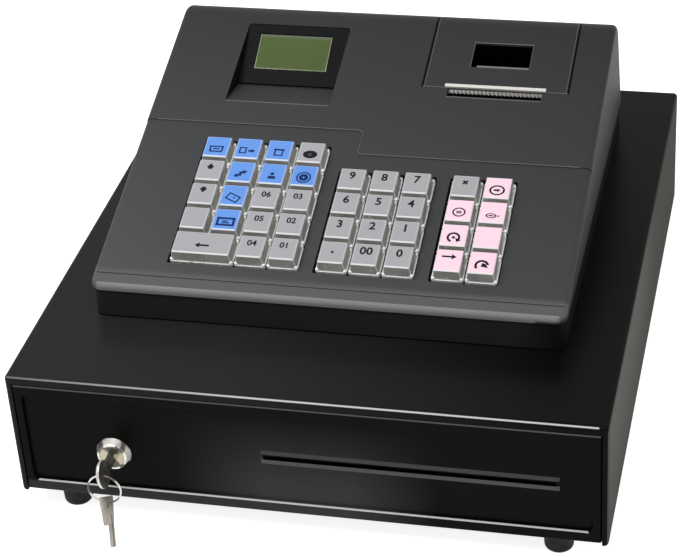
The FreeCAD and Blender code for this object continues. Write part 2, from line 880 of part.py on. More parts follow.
def printer_mechanism():
    """Paper bucket on two legs, with the print head block in front."""
    left = platen_left - roll_side_gap / 2
    right = platen_right + roll_side_gap / 2
    radius = roll_radius + bucket_slack
    front = roll_y - radius - bucket_wall
    back = roll_y + radius + bucket_wall
    bottom = roll_z - radius - bucket_wall
    block = box(left - bucket_wall, right + bucket_wall, front, back, bottom, roll_z)
    trough = fused([rod_x(roll_y, roll_z, left, right, radius),
                    box(left, right, roll_y - radius, roll_y + radius, roll_z, roll_z + overrun)])
    bucket = block.cut(trough)
    platen = deck_to_world(0, platen_s, -platen_drop)
    head_top = platen.z - platen_radius - head_gap
    head = box(platen_left, platen_right, front - head_depth, front + bucket_wall, bottom, head_top)
    head = head.cut(box(platen_left - overrun, platen_right + overrun, front, front + far,
                        roll_z, head_top + overrun))
    legs = []
    for x in (left - bucket_wall, right + bucket_wall - leg_thickness):
        legs.append(box(x, x + leg_thickness, front, back, base_floor, bottom + bucket_wall))
    return fused([bucket, head] + legs)


def register_base():
    """Lower shell: a tray with a leaning back, bosses for the board and holes for its sockets."""
    front = register_front + base_inset
    half = half_register - base_inset
    points = [(front, case_top), (front, split_z), (back_wall_y(split_z, base_inset), split_z),
              (back_wall_y(case_top, base_inset), case_top)]
    outer = profile_x(points, -half, half)
    outer = rounded(outer, plan_corner - base_inset, lambda edge: runs_along(edge, 2)
                    or (edge.BoundBox.XLength < near and edge.BoundBox.ZLength > split_height / 2))
    wall = base_inset + base_wall
    inner_points = [(register_front + wall, base_floor), (register_front + wall, split_z + overrun),
                    (back_wall_y(split_z + overrun, wall), split_z + overrun),
                    (back_wall_y(base_floor, wall), base_floor)]
    inner = profile_x(inner_points, -half + base_wall, half - base_wall)
    inner = rounded(inner, cavity_corner, lambda edge: runs_along(edge, 2)
                    or (edge.BoundBox.XLength < near and edge.BoundBox.ZLength > split_height / 2))
    shape = outer.cut(inner)
    bosses = []
    for x, y in boss_places():
        bosses.append(rod_z(x, y, base_floor, base_floor + boss_height, boss_radius))
    shape = fused([shape] + bosses)
    for left, width, height, depth in sockets():
        shape = shape.cut(box(left - socket_slack, left + width + socket_slack, board_back() - overrun,
                              register_back + overrun, board_top() - board_thickness - socket_slack,
                              board_top() + height + socket_slack))
    return shape


def board_top():
    """Upper face of the circuit board."""
    return base_floor + boss_height + board_thickness


def board_back():
    """Back edge of the circuit board, just inside the leaning wall."""
    return back_wall_y(board_top() + port_height, base_inset + base_wall) - board_end_gap


def boss_places():
    """Centres of the bosses under the board's corners."""
    return [(x, y) for x in (board_left + boss_inset, board_right - boss_inset)
            for y in (board_front + boss_inset, board_back() - 2 * boss_inset)]


def sockets():
    """Left edge, width, height and depth of each socket at the back."""
    span = board_right - board_left
    return [
        (board_left + span * jack_share, jack_width, jack_height, jack_depth),
        (board_left + span * port_share, port_width, port_height, port_depth),
        (board_left + span * serial_share, serial_width, jack_height, jack_depth),
    ]


def main_board():
    """Circuit board with its sockets, chips and capacitors."""
    top = board_top()
    back = board_back()
    pieces = [box(board_left, board_right, board_front, back, top - board_thickness, top)]
    for left, width, height, depth in sockets():
        pieces.append(box(left, left + width, back - depth, back + socket_reach,
                          top - board_thickness, top + height))
    span_x = board_right - board_left
    span_y = back - board_front
    for share_x, share_y in chip_shares:
        x = board_left + span_x * share_x
        y = board_front + span_y * share_y
        pieces.append(box(x - chip_size / 2, x + chip_size / 2, y - chip_size / 2, y + chip_size / 2,
                          top - board_thickness, top + chip_height))
    for share_x, share_y in can_shares:
        pieces.append(rod_z(board_left + span_x * share_x, board_front + span_y * share_y,
                            top - board_thickness, top + can_height, can_radius))
    shape = fused(pieces)
    mouth_y = back + socket_reach
    jack, port, serial = sockets()
    jack_hole = rod_y(jack[0] + jack_width / 2, top + jack_height / 2, mouth_y - jack_depth / 2,
                      mouth_y + overrun, jack_bore)
    port_x = port[0] + port_width / 2
    port_z = top + port_height / 2
    port_hole = box(port_x - port_mouth_width / 2, port_x + port_mouth_width / 2, mouth_y - port_depth / 2,
                    mouth_y + overrun, port_z - port_mouth_height / 2, port_z + port_mouth_height / 2)
    return shape.cut(jack_hole).cut(port_hole)


# Display

def display_bezel():
    """Black panel that lies in the display well round the display."""
    outer = box(well_left + bezel_gap, well_right - bezel_gap, bezel_gap, well_length - bezel_gap,
                0, bezel_thickness)
    window = box(lcd_left, lcd_right, lcd_bottom, lcd_bottom + lcd_height,
                 -overrun, bezel_thickness + overrun)
    trim = display_wedge(-bezel_gap, panel_step - bezel_gap)
    return in_display(outer.cut(window)).common(trim)


def lcd_module():
    """Display glass and its backing, seated behind the bezel's window."""
    edge = lcd_margin - bezel_gap
    backing = box(lcd_left - edge, lcd_right + edge, lcd_bottom - edge, lcd_bottom + lcd_height + edge,
                  -lcd_thickness, 0)
    glass = box(lcd_left + bezel_gap, lcd_right - bezel_gap, lcd_bottom + bezel_gap,
                lcd_bottom + lcd_height - bezel_gap, -lcd_thickness / 2, bezel_thickness - lcd_sink)
    return in_display(fused([backing, glass]))


# Keyboard

skirt_bottom = -key_skirt_drop
guide_top = skirt_bottom - key_travel - key_bottom_gap
guide_bottom = guide_top - guide_plate


def keycap(columns_wide):
    """A tapered key with a lip, a hollow skirt, a stem and the stem's foot, round the origin."""
    base_x = columns_wide * key_pitch_x - key_gap
    base_s = key_pitch_s - key_gap
    taper = base_x - (key_pitch_x - key_gap - key_top_size)
    body = loft_block(base_x - key_skirt_lip, base_s - key_skirt_lip, key_corner, 0,
                      taper, key_top_size, key_top_corner, key_rise)
    lip = loft_block(base_x, base_s, key_corner, skirt_bottom, base_x - key_skirt_lip,
                     base_s - key_skirt_lip, key_corner, 0)
    drawn_in = 2 * key_wall + key_skirt_lip
    hollow = loft_block(base_x - drawn_in, base_s - drawn_in, key_top_corner, skirt_bottom - overrun,
                        taper - 2 * key_wall, key_top_size - 2 * key_wall, key_top_corner,
                        key_rise - key_wall)
    shell = fused([body, lip]).cut(hollow)
    foot_top = guide_bottom - stem_slack
    stem = rod_z(0, 0, foot_top - stem_foot_thickness, key_rise - key_wall / 2, key_stem_radius)
    foot = rod_z(0, 0, foot_top - stem_foot_thickness, foot_top, stem_foot_radius)
    return fused([shell, stem, foot])


def key_places():
    """Each key: node name, x, s and how many columns wide it is."""
    places = []
    for name, centre, columns, rows, wide in key_blocks():
        number = 0
        for row in reversed(range(rows)):
            s = key_row_s + row * key_pitch_s
            column = 0
            while column < columns:
                width = 2 if wide and row == 0 and column == 0 else 1
                x = centre + (column + width / 2 - columns / 2) * key_pitch_x
                number += 1
                places.append(("%s_%02d" % (name, number), x, s, width))
                column += width
    return places


def key_guide():
    """Three trays under the deck, each with a bore for every stem in it."""
    trays = []
    for name, centre, columns, rows, wide in key_blocks():
        left, right, front, back = block_bounds(centre, columns, rows, guide_margin)
        plate = box(left, right, front, back, guide_bottom, guide_top)
        rim = box(left, right, front, back, guide_top, -cover_wall)
        rim = rim.cut(box(left + guide_wall, right - guide_wall, front + guide_wall, back - guide_wall,
                          guide_top - overrun, overrun))
        tray = fused([plate, rim])
        for key_name, x, s, width in key_places():
            if key_name.startswith(name):
                tray = tray.cut(rod_z(x, s, guide_bottom - overrun, guide_top + overrun,
                                      key_stem_radius + stem_slack))
        trays.append(on_deck(tray))
    return Part.makeCompound(trays)


def save(name, shape):
    """Writes one sub-part and reports its solids."""
    shape.exportStep("parts/%s.step" % name)
    print("%-20s solids %d volume %.1f valid %s" % (name, len(shape.Solids), shape.Volume, shape.isValid()))


def main():
    os.makedirs("parts", exist_ok=True)
    pieces = [
        drawer_case, rubber_feet, drawer_box, drawer_front, cash_tray, lock_barrel, lock_plug, lock_key,
        key_ring, spare_key, register_base, register_cover, display_bezel, lcd_module, printer_lid,
        tear_bar, platen_roller, paper_roll, printer_mechanism, main_board, key_guide,
    ]
    for piece in pieces:
        save(piece.__name__, piece())
    caps = {1: keycap(1), 2: keycap(2)}
    for name, x, s, width in key_places():
        cap = caps[width].copy()
        cap.translate(Vector(x, s, 0))
        save(name, on_deck(cap))


main()
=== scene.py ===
"""Looks of an electronic register on its steel cash drawer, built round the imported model.

The sloping top has its own frame: x to the right, s up the slope from the front edge, h square to it.
"""
import json
import math

import bmesh
import bpy
from bpy.props import FloatProperty, FloatVectorProperty, PointerProperty
from mathutils import Matrix, Vector

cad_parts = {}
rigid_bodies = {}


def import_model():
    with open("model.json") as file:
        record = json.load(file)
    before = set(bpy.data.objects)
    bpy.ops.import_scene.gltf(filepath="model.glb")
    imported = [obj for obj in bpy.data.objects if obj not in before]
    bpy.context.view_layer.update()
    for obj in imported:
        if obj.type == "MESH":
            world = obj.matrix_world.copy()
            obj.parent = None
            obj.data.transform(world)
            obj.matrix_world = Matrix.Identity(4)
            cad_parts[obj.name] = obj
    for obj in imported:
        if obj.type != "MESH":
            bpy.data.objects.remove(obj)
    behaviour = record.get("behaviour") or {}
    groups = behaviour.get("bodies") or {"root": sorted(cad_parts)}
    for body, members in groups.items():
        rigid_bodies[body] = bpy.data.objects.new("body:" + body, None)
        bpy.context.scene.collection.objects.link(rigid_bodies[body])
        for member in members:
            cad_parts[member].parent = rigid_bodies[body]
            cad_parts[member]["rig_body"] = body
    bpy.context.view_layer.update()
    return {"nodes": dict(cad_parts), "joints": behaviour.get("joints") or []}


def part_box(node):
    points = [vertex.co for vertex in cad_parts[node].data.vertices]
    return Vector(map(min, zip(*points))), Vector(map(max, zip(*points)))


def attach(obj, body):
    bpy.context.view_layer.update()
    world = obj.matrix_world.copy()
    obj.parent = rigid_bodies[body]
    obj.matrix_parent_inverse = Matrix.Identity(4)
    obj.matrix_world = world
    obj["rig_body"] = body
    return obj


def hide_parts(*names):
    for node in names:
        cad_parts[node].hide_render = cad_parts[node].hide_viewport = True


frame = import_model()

bl_info = {
    "name": "Ticket register",
    "version": (1, 0, 0),
    "blender": (4, 5, 0),
    "location": "View3D > Sidebar > Register",
    "description": "Dresses the register, its keyboard, printer and cash drawer, and sets the stage",
    "category": "Object",
}

NODES = frame["nodes"]
JOINTS = {joint["name"]: joint for joint in frame["joints"]}
PRESS_PREFIX = "press_"


def key_names(block):
    """Node names of one block of keys, in order."""
    return sorted(name for name in NODES if name.startswith("key_" + block + "_"))


# The sloping top's frame, read from the way the keys travel and the keys' own tops

FIRST_KEY = key_names("number")[0]
TRAVEL = Vector(JOINTS[PRESS_PREFIX + FIRST_KEY[len("key_"):]]["axis"])
DECK_ANGLE = math.atan2(TRAVEL.y, -TRAVEL.z)
DECK_TURN = Matrix.Rotation(DECK_ANGLE, 4, "X")
DECK_NORMAL = -TRAVEL.normalized()

# Small sizes and limits that several pieces share

KEY_RISE = 0.0088
CORNER_SHARE = 0.15
HAIR = 0.0001
LOOSE = 0.005
SOFT_EDGE = 0.00003
KEY_THICKNESS = 0.002
COVER_LOW, COVER_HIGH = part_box("register_cover")


def grey(level):
    """A neutral colour."""
    return (level, level, level)


# Tints, and one roughness, that the finishes lay over parts of a piece. Most tints are painted light and
# painted shade; CHIP and TINNED are the board's own colours, and BLACK is painted shade in some places and
# the colour of dark joints in others

BLACK = (0.002, 0.0022, 0.0024)
# Painted light on the case: a lit tone and a sheen on its right wall, and painted highlights on its corner
# and front top edge
WALL_PAINTED_LIGHT = (0.076, 0.076, 0.068)
WALL_PAINTED_SHEEN = (0.122, 0.123, 0.112)
MATT = grey(0.9)
CORNER_PAINTED_HIGHLIGHT = grey(0.12)
EDGE_HIGHLIGHT_DULL = grey(0.14)
EDGE_HIGHLIGHT_BRIGHT = grey(0.52)
# Painted light on the drawer front: a painted reflection, lit slopes and painted highlights
FRONT_PAINTED_REFLECTION = (0.043, 0.044, 0.046)
RAIL_PAINTED_LIGHT = (0.036, 0.037, 0.039)
SLOPE_PAINTED_LIGHT = (0.062, 0.062, 0.060)
LOWER_SLOPE_HIGHLIGHT = (0.10, 0.10, 0.105)
FRONT_TOP_HIGHLIGHT = grey(0.10)
PANEL_EDGE_HIGHLIGHT = (0.55, 0.55, 0.54)
# Painted shade, painted light and painted highlights on the cover and lid, and painted shade in the display's
# well
COVER_BACK_SHADE = (0.021, 0.022, 0.023)
COVER_RIGHT_SHADE = grey(0.015)
COVER_FRONT_LIGHT = (0.086, 0.087, 0.091)
COVER_FACE_LIGHT = (0.185, 0.187, 0.194)
COVER_RIM_HIGHLIGHT = grey(0.19)
COVER_FLANK_SHADE = grey(0.020)
RAISED_EDGE_HIGHLIGHT = grey(0.13)
LID_EDGE_HIGHLIGHT = (0.065, 0.066, 0.068)
LID_FRONT_HIGHLIGHT = (0.105, 0.105, 0.108)
EXIT_EDGE_HIGHLIGHT = (0.10, 0.10, 0.095)
WINDOW_LIP_HIGHLIGHT = (0.17, 0.17, 0.18)
WELL_SHADE = (0.032, 0.032, 0.033)
CHIP = (0.012, 0.012, 0.013)
TINNED = grey(0.22)
# Painted shade on the base's right side
BASE_RIGHT_SHADE = grey(0.006)
# Painted highlight on the feet
FOOT_HIGHLIGHT = grey(0.09)
# Painted reflection at the top of the display's glass
GLASS_TOP_REFLECTION = (0.13, 0.15, 0.11)

# Places on the sloping top, in its own frame

FRONT_STRIP = {"Y": (-0.02, 0.013), "Z": (-0.004, 0.002)}
RAISED_FLAT = {"X": (-0.158, 0.158), "Y": (0.008, 0.270)}
RAISED_HIGHLIGHT_BAND = (0.0005, 0.0011)
RAISED_SHADOW_BAND = (0.00005, 0.0004)
PAPER_EXIT = {"X": (0.052, 0.1216), "Y": (0.2000, 0.2013), "Z": (-0.001, 0.0013)}
WINDOW_SILL = {"X": (0.0697, 0.1081), "Y": (0.2327, 0.2356), "Z": (-0.003, 0.00115)}
FLANK_DEPTH = (-0.3, -0.004)
WELL_DEPTH = (-0.02, 0.0004)
WELL_FRONT = 0.178
WELL_SIDE = (0.19, 0.27)
BACK_END = 0.4


def deck_origin():
    """The point of the cover's front edge where s and h are zero."""
    top = max(vertex.co.dot(DECK_NORMAL) for vertex in NODES[FIRST_KEY].data.vertices) - KEY_RISE
    front = COVER_LOW.y
    return Vector((0, front, (top - DECK_NORMAL.y * front) / DECK_NORMAL.z))


DECK = Matrix.Translation(deck_origin()) @ DECK_TURN
TO_DECK = DECK.inverted()


def points_in(node, place):
    """A node's points in a frame."""
    inside = place.inverted()
    return [inside @ vertex.co for vertex in NODES[node].data.vertices]


def corners(points):
    """Lowest and highest corner of some points."""
    return (Vector(min(point[axis] for point in points) for axis in range(3)),
            Vector(max(point[axis] for point in points) for axis in range(3)))


def deck_box(node):
    """Lowest and highest corner of a node in the sloping top's frame."""
    return corners(points_in(node, DECK))


# Sizes and colours that a user would change

class RegisterSizes(bpy.types.PropertyGroup):
    """Sizes of the pieces that this script adds."""
    flange: FloatProperty(name="Key flange", description="Height of the clear flange round a key",
                          default=0.0020, unit="LENGTH")
    ledge: FloatProperty(name="Flange ledge", description="Width of the flange outside a key's skirt",
                         default=0.0009, unit="LENGTH")
    corner: FloatProperty(name="Key corner", description="Size of a key's upright corners",
                          default=0.0014, unit="LENGTH")
    key_top: FloatProperty(name="Key top", description="Depth of a key's top", default=0.0184, unit="LENGTH")
    key_wide: FloatProperty(name="Key width", description="Width of a single key's top", default=0.0167,
                            unit="LENGTH")
    bead: FloatProperty(name="Bead", description="Radius of the bright beads at a key's corners",
                        default=0.0014, unit="LENGTH")
    chamfer: FloatProperty(name="Key chamfer", description="Width of the chamfer round a key's top",
                           default=0.0006, unit="LENGTH")
    border: FloatProperty(name="Key border", description="Width of the clear border round a key's insert",
                          default=0.0004, unit="LENGTH")
    ink: FloatProperty(name="Ink", description="Thickness of the printed marks", default=0.00006,
                       unit="LENGTH")
    weight: FloatProperty(name="Stroke", description="Boldness of the marks' strokes", default=1.5)
    icon: FloatProperty(name="Icon", description="Size of the marks on the keys", default=1.25)
    digit: FloatProperty(name="Digit", description="Height of a number on a key", default=0.0066,
                         unit="LENGTH")
    wire: FloatProperty(name="Ring wire", description="Half the thickness of the split ring's wire",
                        default=0.00036, unit="LENGTH")
    tooth: FloatProperty(name="Tooth", description="Pitch of the tear strip's teeth", default=0.0030,
                         unit="LENGTH")
    strip: FloatProperty(name="Tear strip", description="Depth of the tear strip in the paper's exit",
                         default=0.0030, unit="LENGTH")
    rail: FloatProperty(name="Front rail", description="Height of the drawer front under its panel",
                        default=0.0084, unit="LENGTH")
    slot: FloatProperty(name="Slot", description="Height of the slip slot over the drawer front's bottom",
                        default=0.0444, unit="LENGTH")
    rim: FloatProperty(name="Display rim", description="Width of the pale edge round the display's glass",
                       default=0.0007, unit="LENGTH")


class RegisterColours(bpy.types.PropertyGroup):
    """Colours of the finishes."""
    paint: FloatVectorProperty(name="Steel paint", description="Paint of the drawer's case", subtype="COLOR",
                               default=(0.0145, 0.0152, 0.0160))
    front: FloatVectorProperty(name="Drawer front", description="Moulding of the drawer's front",
                               subtype="COLOR", default=(0.0024, 0.0024, 0.0022))
    cover: FloatVectorProperty(name="Cover", description="Textured moulding of the register", subtype="COLOR",
                               default=(0.063, 0.0645, 0.067))
    base: FloatVectorProperty(name="Base", description="Moulding of the register's base", subtype="COLOR",
                              default=(0.0195, 0.0208, 0.0225))
    bezel: FloatVectorProperty(name="Bezel", description="Panel round the display", subtype="COLOR",
                               default=(0.0050, 0.0052, 0.0060))
    display: FloatVectorProperty(name="Display", description="Unlit display", subtype="COLOR",
                                 default=(0.073, 0.104, 0.033))
    grey: FloatVectorProperty(name="Grey key", description="Insert of a grey key", subtype="COLOR",
                              default=(0.335, 0.335, 0.350))
    blue: FloatVectorProperty(name="Blue key", description="Insert of a blue key", subtype="COLOR",
                              default=(0.115, 0.265, 0.66))
    pink: FloatVectorProperty(name="Pink key", description="Insert of a pink key", subtype="COLOR",
                              default=(0.86, 0.60, 0.70))
    skirt: FloatVectorProperty(name="Key skirt", description="Clear plastic of a key's sides",
                               subtype="COLOR", default=(0.345, 0.340, 0.315))
    # This colour stands for painted highlights on the keys' clear plastic
    edge: FloatVectorProperty(name="Key edge", description="Clear plastic of a key's edges", subtype="COLOR",
                              default=(0.80, 0.81, 0.81))
    chrome: FloatVectorProperty(name="Chrome", description="Lock's collar and the split ring",
                                subtype="COLOR", default=(0.93, 0.91, 0.83))
    key_metal: FloatVectorProperty(name="Key metal", description="Nickel of the two keys", subtype="COLOR",
                                   default=(0.36, 0.33, 0.28))
    strip: FloatVectorProperty(name="Tear strip", description="Steel at the paper's exit", subtype="COLOR",
                               default=(0.62, 0.60, 0.56))
    ink: FloatVectorProperty(name="Ink", description="Marks on grey and pink keys", subtype="COLOR",
                             default=(0.012, 0.012, 0.014))
    navy: FloatVectorProperty(name="Navy ink", description="Marks on blue keys", subtype="COLOR",
                              default=(0.008, 0.030, 0.12))


class RegisterStage(bpy.types.PropertyGroup):
    """Camera and lights."""
    place: FloatVectorProperty(name="Camera place", description="Where the camera stands",
                               subtype="TRANSLATION", default=(0.33424, -1.34554, 0.96770))
    turn: FloatVectorProperty(name="Camera turn", description="How the camera is turned", subtype="EULER",
                              default=(math.radians(56.857), math.radians(3.413), math.radians(12.722)))
    lens: FloatProperty(name="Lens", description="Focal length in millimetres", default=116.82)
    sky: FloatProperty(name="Sky", description="Strength of the even light all round", default=0.32)
    front: FloatProperty(name="Front light", description="Power of the long lamp over the front, in watts",
                         default=16.0)
    side: FloatProperty(name="Side light", description="Power of the lamp at the right, in watts",
                        default=5.0)
    floor: FloatProperty(name="Floor", description="Extra white that the camera sees on the floor",
                         default=0.85)


# Materials

class Finish:
    """A procedural material under construction, on Object coordinates."""

    def __init__(self, name):
        self.material = bpy.data.materials.new(name)
        self.material.use_nodes = True
        self.tree = self.material.node_tree
        self.shader = self.tree.nodes["Principled BSDF"]
        self.coordinates = self.add("ShaderNodeTexCoord").outputs["Object"]

    def add(self, kind, **settings):
        node = self.tree.nodes.new(kind)
        for name, value in settings.items():
            setattr(node, name, value)
        return node

    def link(self, output, target):
        self.tree.links.new(output, target)

    def mapped(self, scale=(1, 1, 1), place=(0, 0, 0), turn=(0, 0, 0)):
        """Object coordinates, stretched or moved."""
        mapping = self.add("ShaderNodeMapping")
        mapping.inputs["Location"].default_value = place
        mapping.inputs["Rotation"].default_value = turn
        mapping.inputs["Scale"].default_value = scale
        self.link(self.coordinates, mapping.inputs["Vector"])
        return mapping.outputs["Vector"]

    def noise(self, scale, detail=2.0, vector=None, rough=0.5):
        node = self.add("ShaderNodeTexNoise")
        node.inputs["Scale"].default_value = scale
        node.inputs["Detail"].default_value = detail
        node.inputs["Roughness"].default_value = rough
        self.link(vector or self.coordinates, node.inputs["Vector"])
        return node.outputs["Fac"]

    def spread(self, value, low, high, start=0.3, end=0.7):
        """A value moved from its own range to another."""
        node = self.add("ShaderNodeMapRange")
        node.inputs["From Min"].default_value = start
        node.inputs["From Max"].default_value = end
        node.inputs["To Min"].default_value = low
        node.inputs["To Max"].default_value = high
        self.link(value, node.inputs["Value"])
        return node.outputs["Result"]

    def feed(self, target, value):
        """Links an output to an input, or sets a number or a colour on it."""
        if isinstance(value, bpy.types.NodeSocket):
            self.link(value, target)
        elif target.type == "RGBA":
            target.default_value = (*value[:3], 1)
        else:
            target.default_value = value

    def mix(self, factor, first, second):
        """A colour between two colours; each is a colour or an output."""
        node = self.add("ShaderNodeMix", data_type="RGBA")
        colours = [socket for socket in node.inputs if socket.type == "RGBA"]
        self.feed(node.inputs["Factor"], factor)
        self.feed(colours[0], first)
        self.feed(colours[1], second)
        return next(socket for socket in node.outputs if socket.type == "RGBA")

    def lay(self, tint, colour, soft=SOFT_EDGE, vector=None, **limits):
        """A tint with a colour laid over it inside limits."""
        return self.mix(self.patch(soft, vector, **limits), tint, colour)

    def math(self, operation, *values):
        """The result of a Math node; each value is a number or an output."""
        node = self.add("ShaderNodeMath", operation=operation)
        for value, target in zip(values, node.inputs):
            self.feed(target, value)
        return node.outputs[0]

    def times(self, first, second):
        """The product of two values."""
        return self.math("MULTIPLY", first, second)

    def axis(self, name, vector=None):
        """One coordinate of the object, or of another vector."""
        parts = self.add("ShaderNodeSeparateXYZ")
        self.link(vector or self.coordinates, parts.inputs["Vector"])
        return parts.outputs[name]

    def within(self, value, low, high, soft=SOFT_EDGE):
        """1 where a value lies between two limits, falling to 0 over a soft edge."""
        rise = self.spread(value, 0, 1, low - soft, low)
        fall = self.spread(value, 1, 0, high, high + soft)
        return self.times(rise, fall)

    def patch(self, soft=SOFT_EDGE, vector=None, **limits):
        """1 inside the limits given for X, Y or Z, falling to 0 over a soft edge."""
        level = None
        for name, (low, high) in limits.items():
            inside = self.within(self.axis(name, vector), low, high, soft)
            level = self.times(level, inside) if level else inside
        return level

    def deck(self):
        """Coordinates in the sloping top's frame."""
        return self.mapped(place=TO_DECK.to_translation(), turn=TO_DECK.to_euler())

    def bump(self, height, distance, strength=1.0, normal=None):
        node = self.add("ShaderNodeBump")
        node.inputs["Distance"].default_value = distance
        node.inputs["Strength"].default_value = strength
        self.link(height, node.inputs["Height"])
        if normal:
            self.link(normal, node.inputs["Normal"])
        return node.outputs["Normal"]

    def done(self, colour=None, roughness=None, normal=None, **fixed):
        for name, value in (("Base Color", colour), ("Roughness", roughness), ("Normal", normal)):
            if value is not None:
                self.link(value, self.shader.inputs[name])
        for name, value in fixed.items():
            self.shader.inputs[name.replace("_", " ").title()
                               .replace("Ior", "IOR")].default_value = value
        return self.material


def shades(colour, amount):
    """A darker and a lighter shade of a colour."""
    return [channel * (1 - amount) for channel in colour], [channel * (1 + amount) for channel in colour]


def moulded(name, colour, rough, grain, depth, drift=0.08, over=None, **fixed):
    """Moulded plastic or paint: slow drift of shade, fine grain in bump and roughness, more laid over it."""
    finish = Finish(name)
    dark, light = shades(colour, drift)
    fine = finish.noise(grain, 3.0)
    tint = finish.mix(finish.spread(finish.noise(9.0, 3.0), 0, 1), dark, light)
    tint = finish.mix(finish.spread(fine, 0, 0.35, 0.35, 0.75), tint, light)
    gloss = finish.spread(finish.noise(grain * 0.4, 2.0), *rough)
    if over:
        tint, gloss = over(finish, tint, gloss)
    return finish.done(tint, gloss, finish.bump(fine, depth), **fixed)


def case_painted_light(finish, tint, rough):
    """The case's paint with painted light: painted shade darker to the right, a painted lit tone and sheen on
    the right wall, which is also matt, and painted highlights on the right front corner and along the front's
    top edge.
    """
    low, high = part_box("drawer_case")
    skin = 0.0006
    arris = 0.0009
    shine_start = 0.02
    shine_end = 0.18
    shine_depth = 0.01
    shine_fade = 0.10
    edge_width = 0.0012
    edge_height = 0.0013
    edge_stop = 0.007
    bright_from = -0.03
    across = finish.axis("X")
    # Painted shade: the paint darkens towards the right, where the register shades the case
    tint = finish.mix(finish.spread(across, 0, 1, low.x / 4, high.x * 0.8), tint, BLACK)
    # Painted light on the right wall, which is also made matt, with a painted sheen near its front top
    wall = finish.patch(X=(high.x - skin, high.x + LOOSE))
    tint = finish.mix(wall, tint, WALL_PAINTED_LIGHT)
    shine = finish.patch(shine_fade, X=(high.x - skin, high.x + LOOSE),
                         Y=(low.y + shine_start, low.y + shine_end),
                         Z=(high.z - shine_depth, high.z + LOOSE))
    tint = finish.mix(finish.times(shine, wall), tint, WALL_PAINTED_SHEEN)
    rough = finish.mix(wall, rough, MATT)
    # Painted highlights: a pale line down the right front corner, and one along the front's top edge that
    # brightens away from its left end
    tint = finish.lay(tint, CORNER_PAINTED_HIGHLIGHT, 10 * SOFT_EDGE, X=(high.x - arris, high.x + LOOSE),
                      Y=(low.y - LOOSE, low.y + arris))
    gleam = finish.mix(finish.spread(across, 0, 1, low.x, bright_from), EDGE_HIGHLIGHT_DULL, EDGE_HIGHLIGHT_BRIGHT)
    tint = finish.lay(tint, gleam, 2 * HAIR, X=(low.x - LOOSE, high.x - edge_stop),
                      Y=(low.y - LOOSE, low.y + edge_width), Z=(high.z - edge_height, high.z + LOOSE))
    return tint, rough


def front_painted_light(finish, tint, rough):
    """The drawer front with painted light: a painted reflection low in the middle, painted light on the lower
    rail and on the slot's slopes, painted shade in the slot's mouth, and painted highlights along the top
    edge and the panel's bottom ledge.
    """
    low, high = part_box("drawer_front")
    sizes = bpy.context.scene.register_sizes
    ledge = low.z + sizes.rail
    slot = low.z + sizes.slot
    reflection_half = 0.03
    reflection_height = 0.02
    reflection_fade = 0.06
    rail_top = 0.0008
    panel_depth = 0.0021
    slope_depth = 0.00295
    slope_ends = (-0.035, 0.18)
    slope_height = 0.0065
    mouth_ends = (-0.029, 0.174)
    mouth_below = 0.0016
    mouth_above = 0.0025
    top_depth = 0.0007
    top_height = 0.0010
    line_stop = 0.0080
    line_depth = 0.0015
    line_below = 0.0004
    line_above = 0.0002
    # Painted reflection of the floor low in the middle, and painted light on the rail under the panel at the
    # left
    tint = finish.lay(tint, FRONT_PAINTED_REFLECTION, reflection_fade, X=(-reflection_half, reflection_half), Z=(low.z, low.z + reflection_height))
    rail = finish.patch(reflection_fade, X=(low.x, -reflection_half), Z=(low.z - LOOSE, low.z))
    below = finish.patch(Z=(low.z - LOOSE, ledge - rail_top))
    tint = finish.mix(finish.times(rail, below), tint, RAIL_PAINTED_LIGHT)
    # Painted light on the slot's slopes, brighter on the lower one, and painted shade deep in its mouth
    slope = {"Y": (low.y + panel_depth, low.y + slope_depth), "X": slope_ends}
    tint = finish.lay(tint, SLOPE_PAINTED_LIGHT, **slope, Z=(slot - slope_height, slot + slope_height))
    tint = finish.lay(tint, LOWER_SLOPE_HIGHLIGHT, **slope, Z=(slot - slope_height, slot))
    tint = finish.lay(tint, BLACK, Y=(low.y + panel_depth, high.y + LOOSE), X=mouth_ends,
                      Z=(slot - mouth_below, slot + mouth_above))
    # Painted highlights along the front's top edge and along the panel's bottom ledge
    tint = finish.lay(tint, FRONT_TOP_HIGHLIGHT, 2 * HAIR, Y=(low.y - LOOSE, low.y + top_depth),
                      Z=(high.z - top_height, high.z + LOOSE))
    tint = finish.lay(tint, PANEL_EDGE_HIGHLIGHT, HAIR, X=(line_stop - high.x, high.x - line_stop),
                      Y=(low.y - LOOSE, low.y + line_depth), Z=(ledge - line_below, ledge + line_above))
    return tint, rough


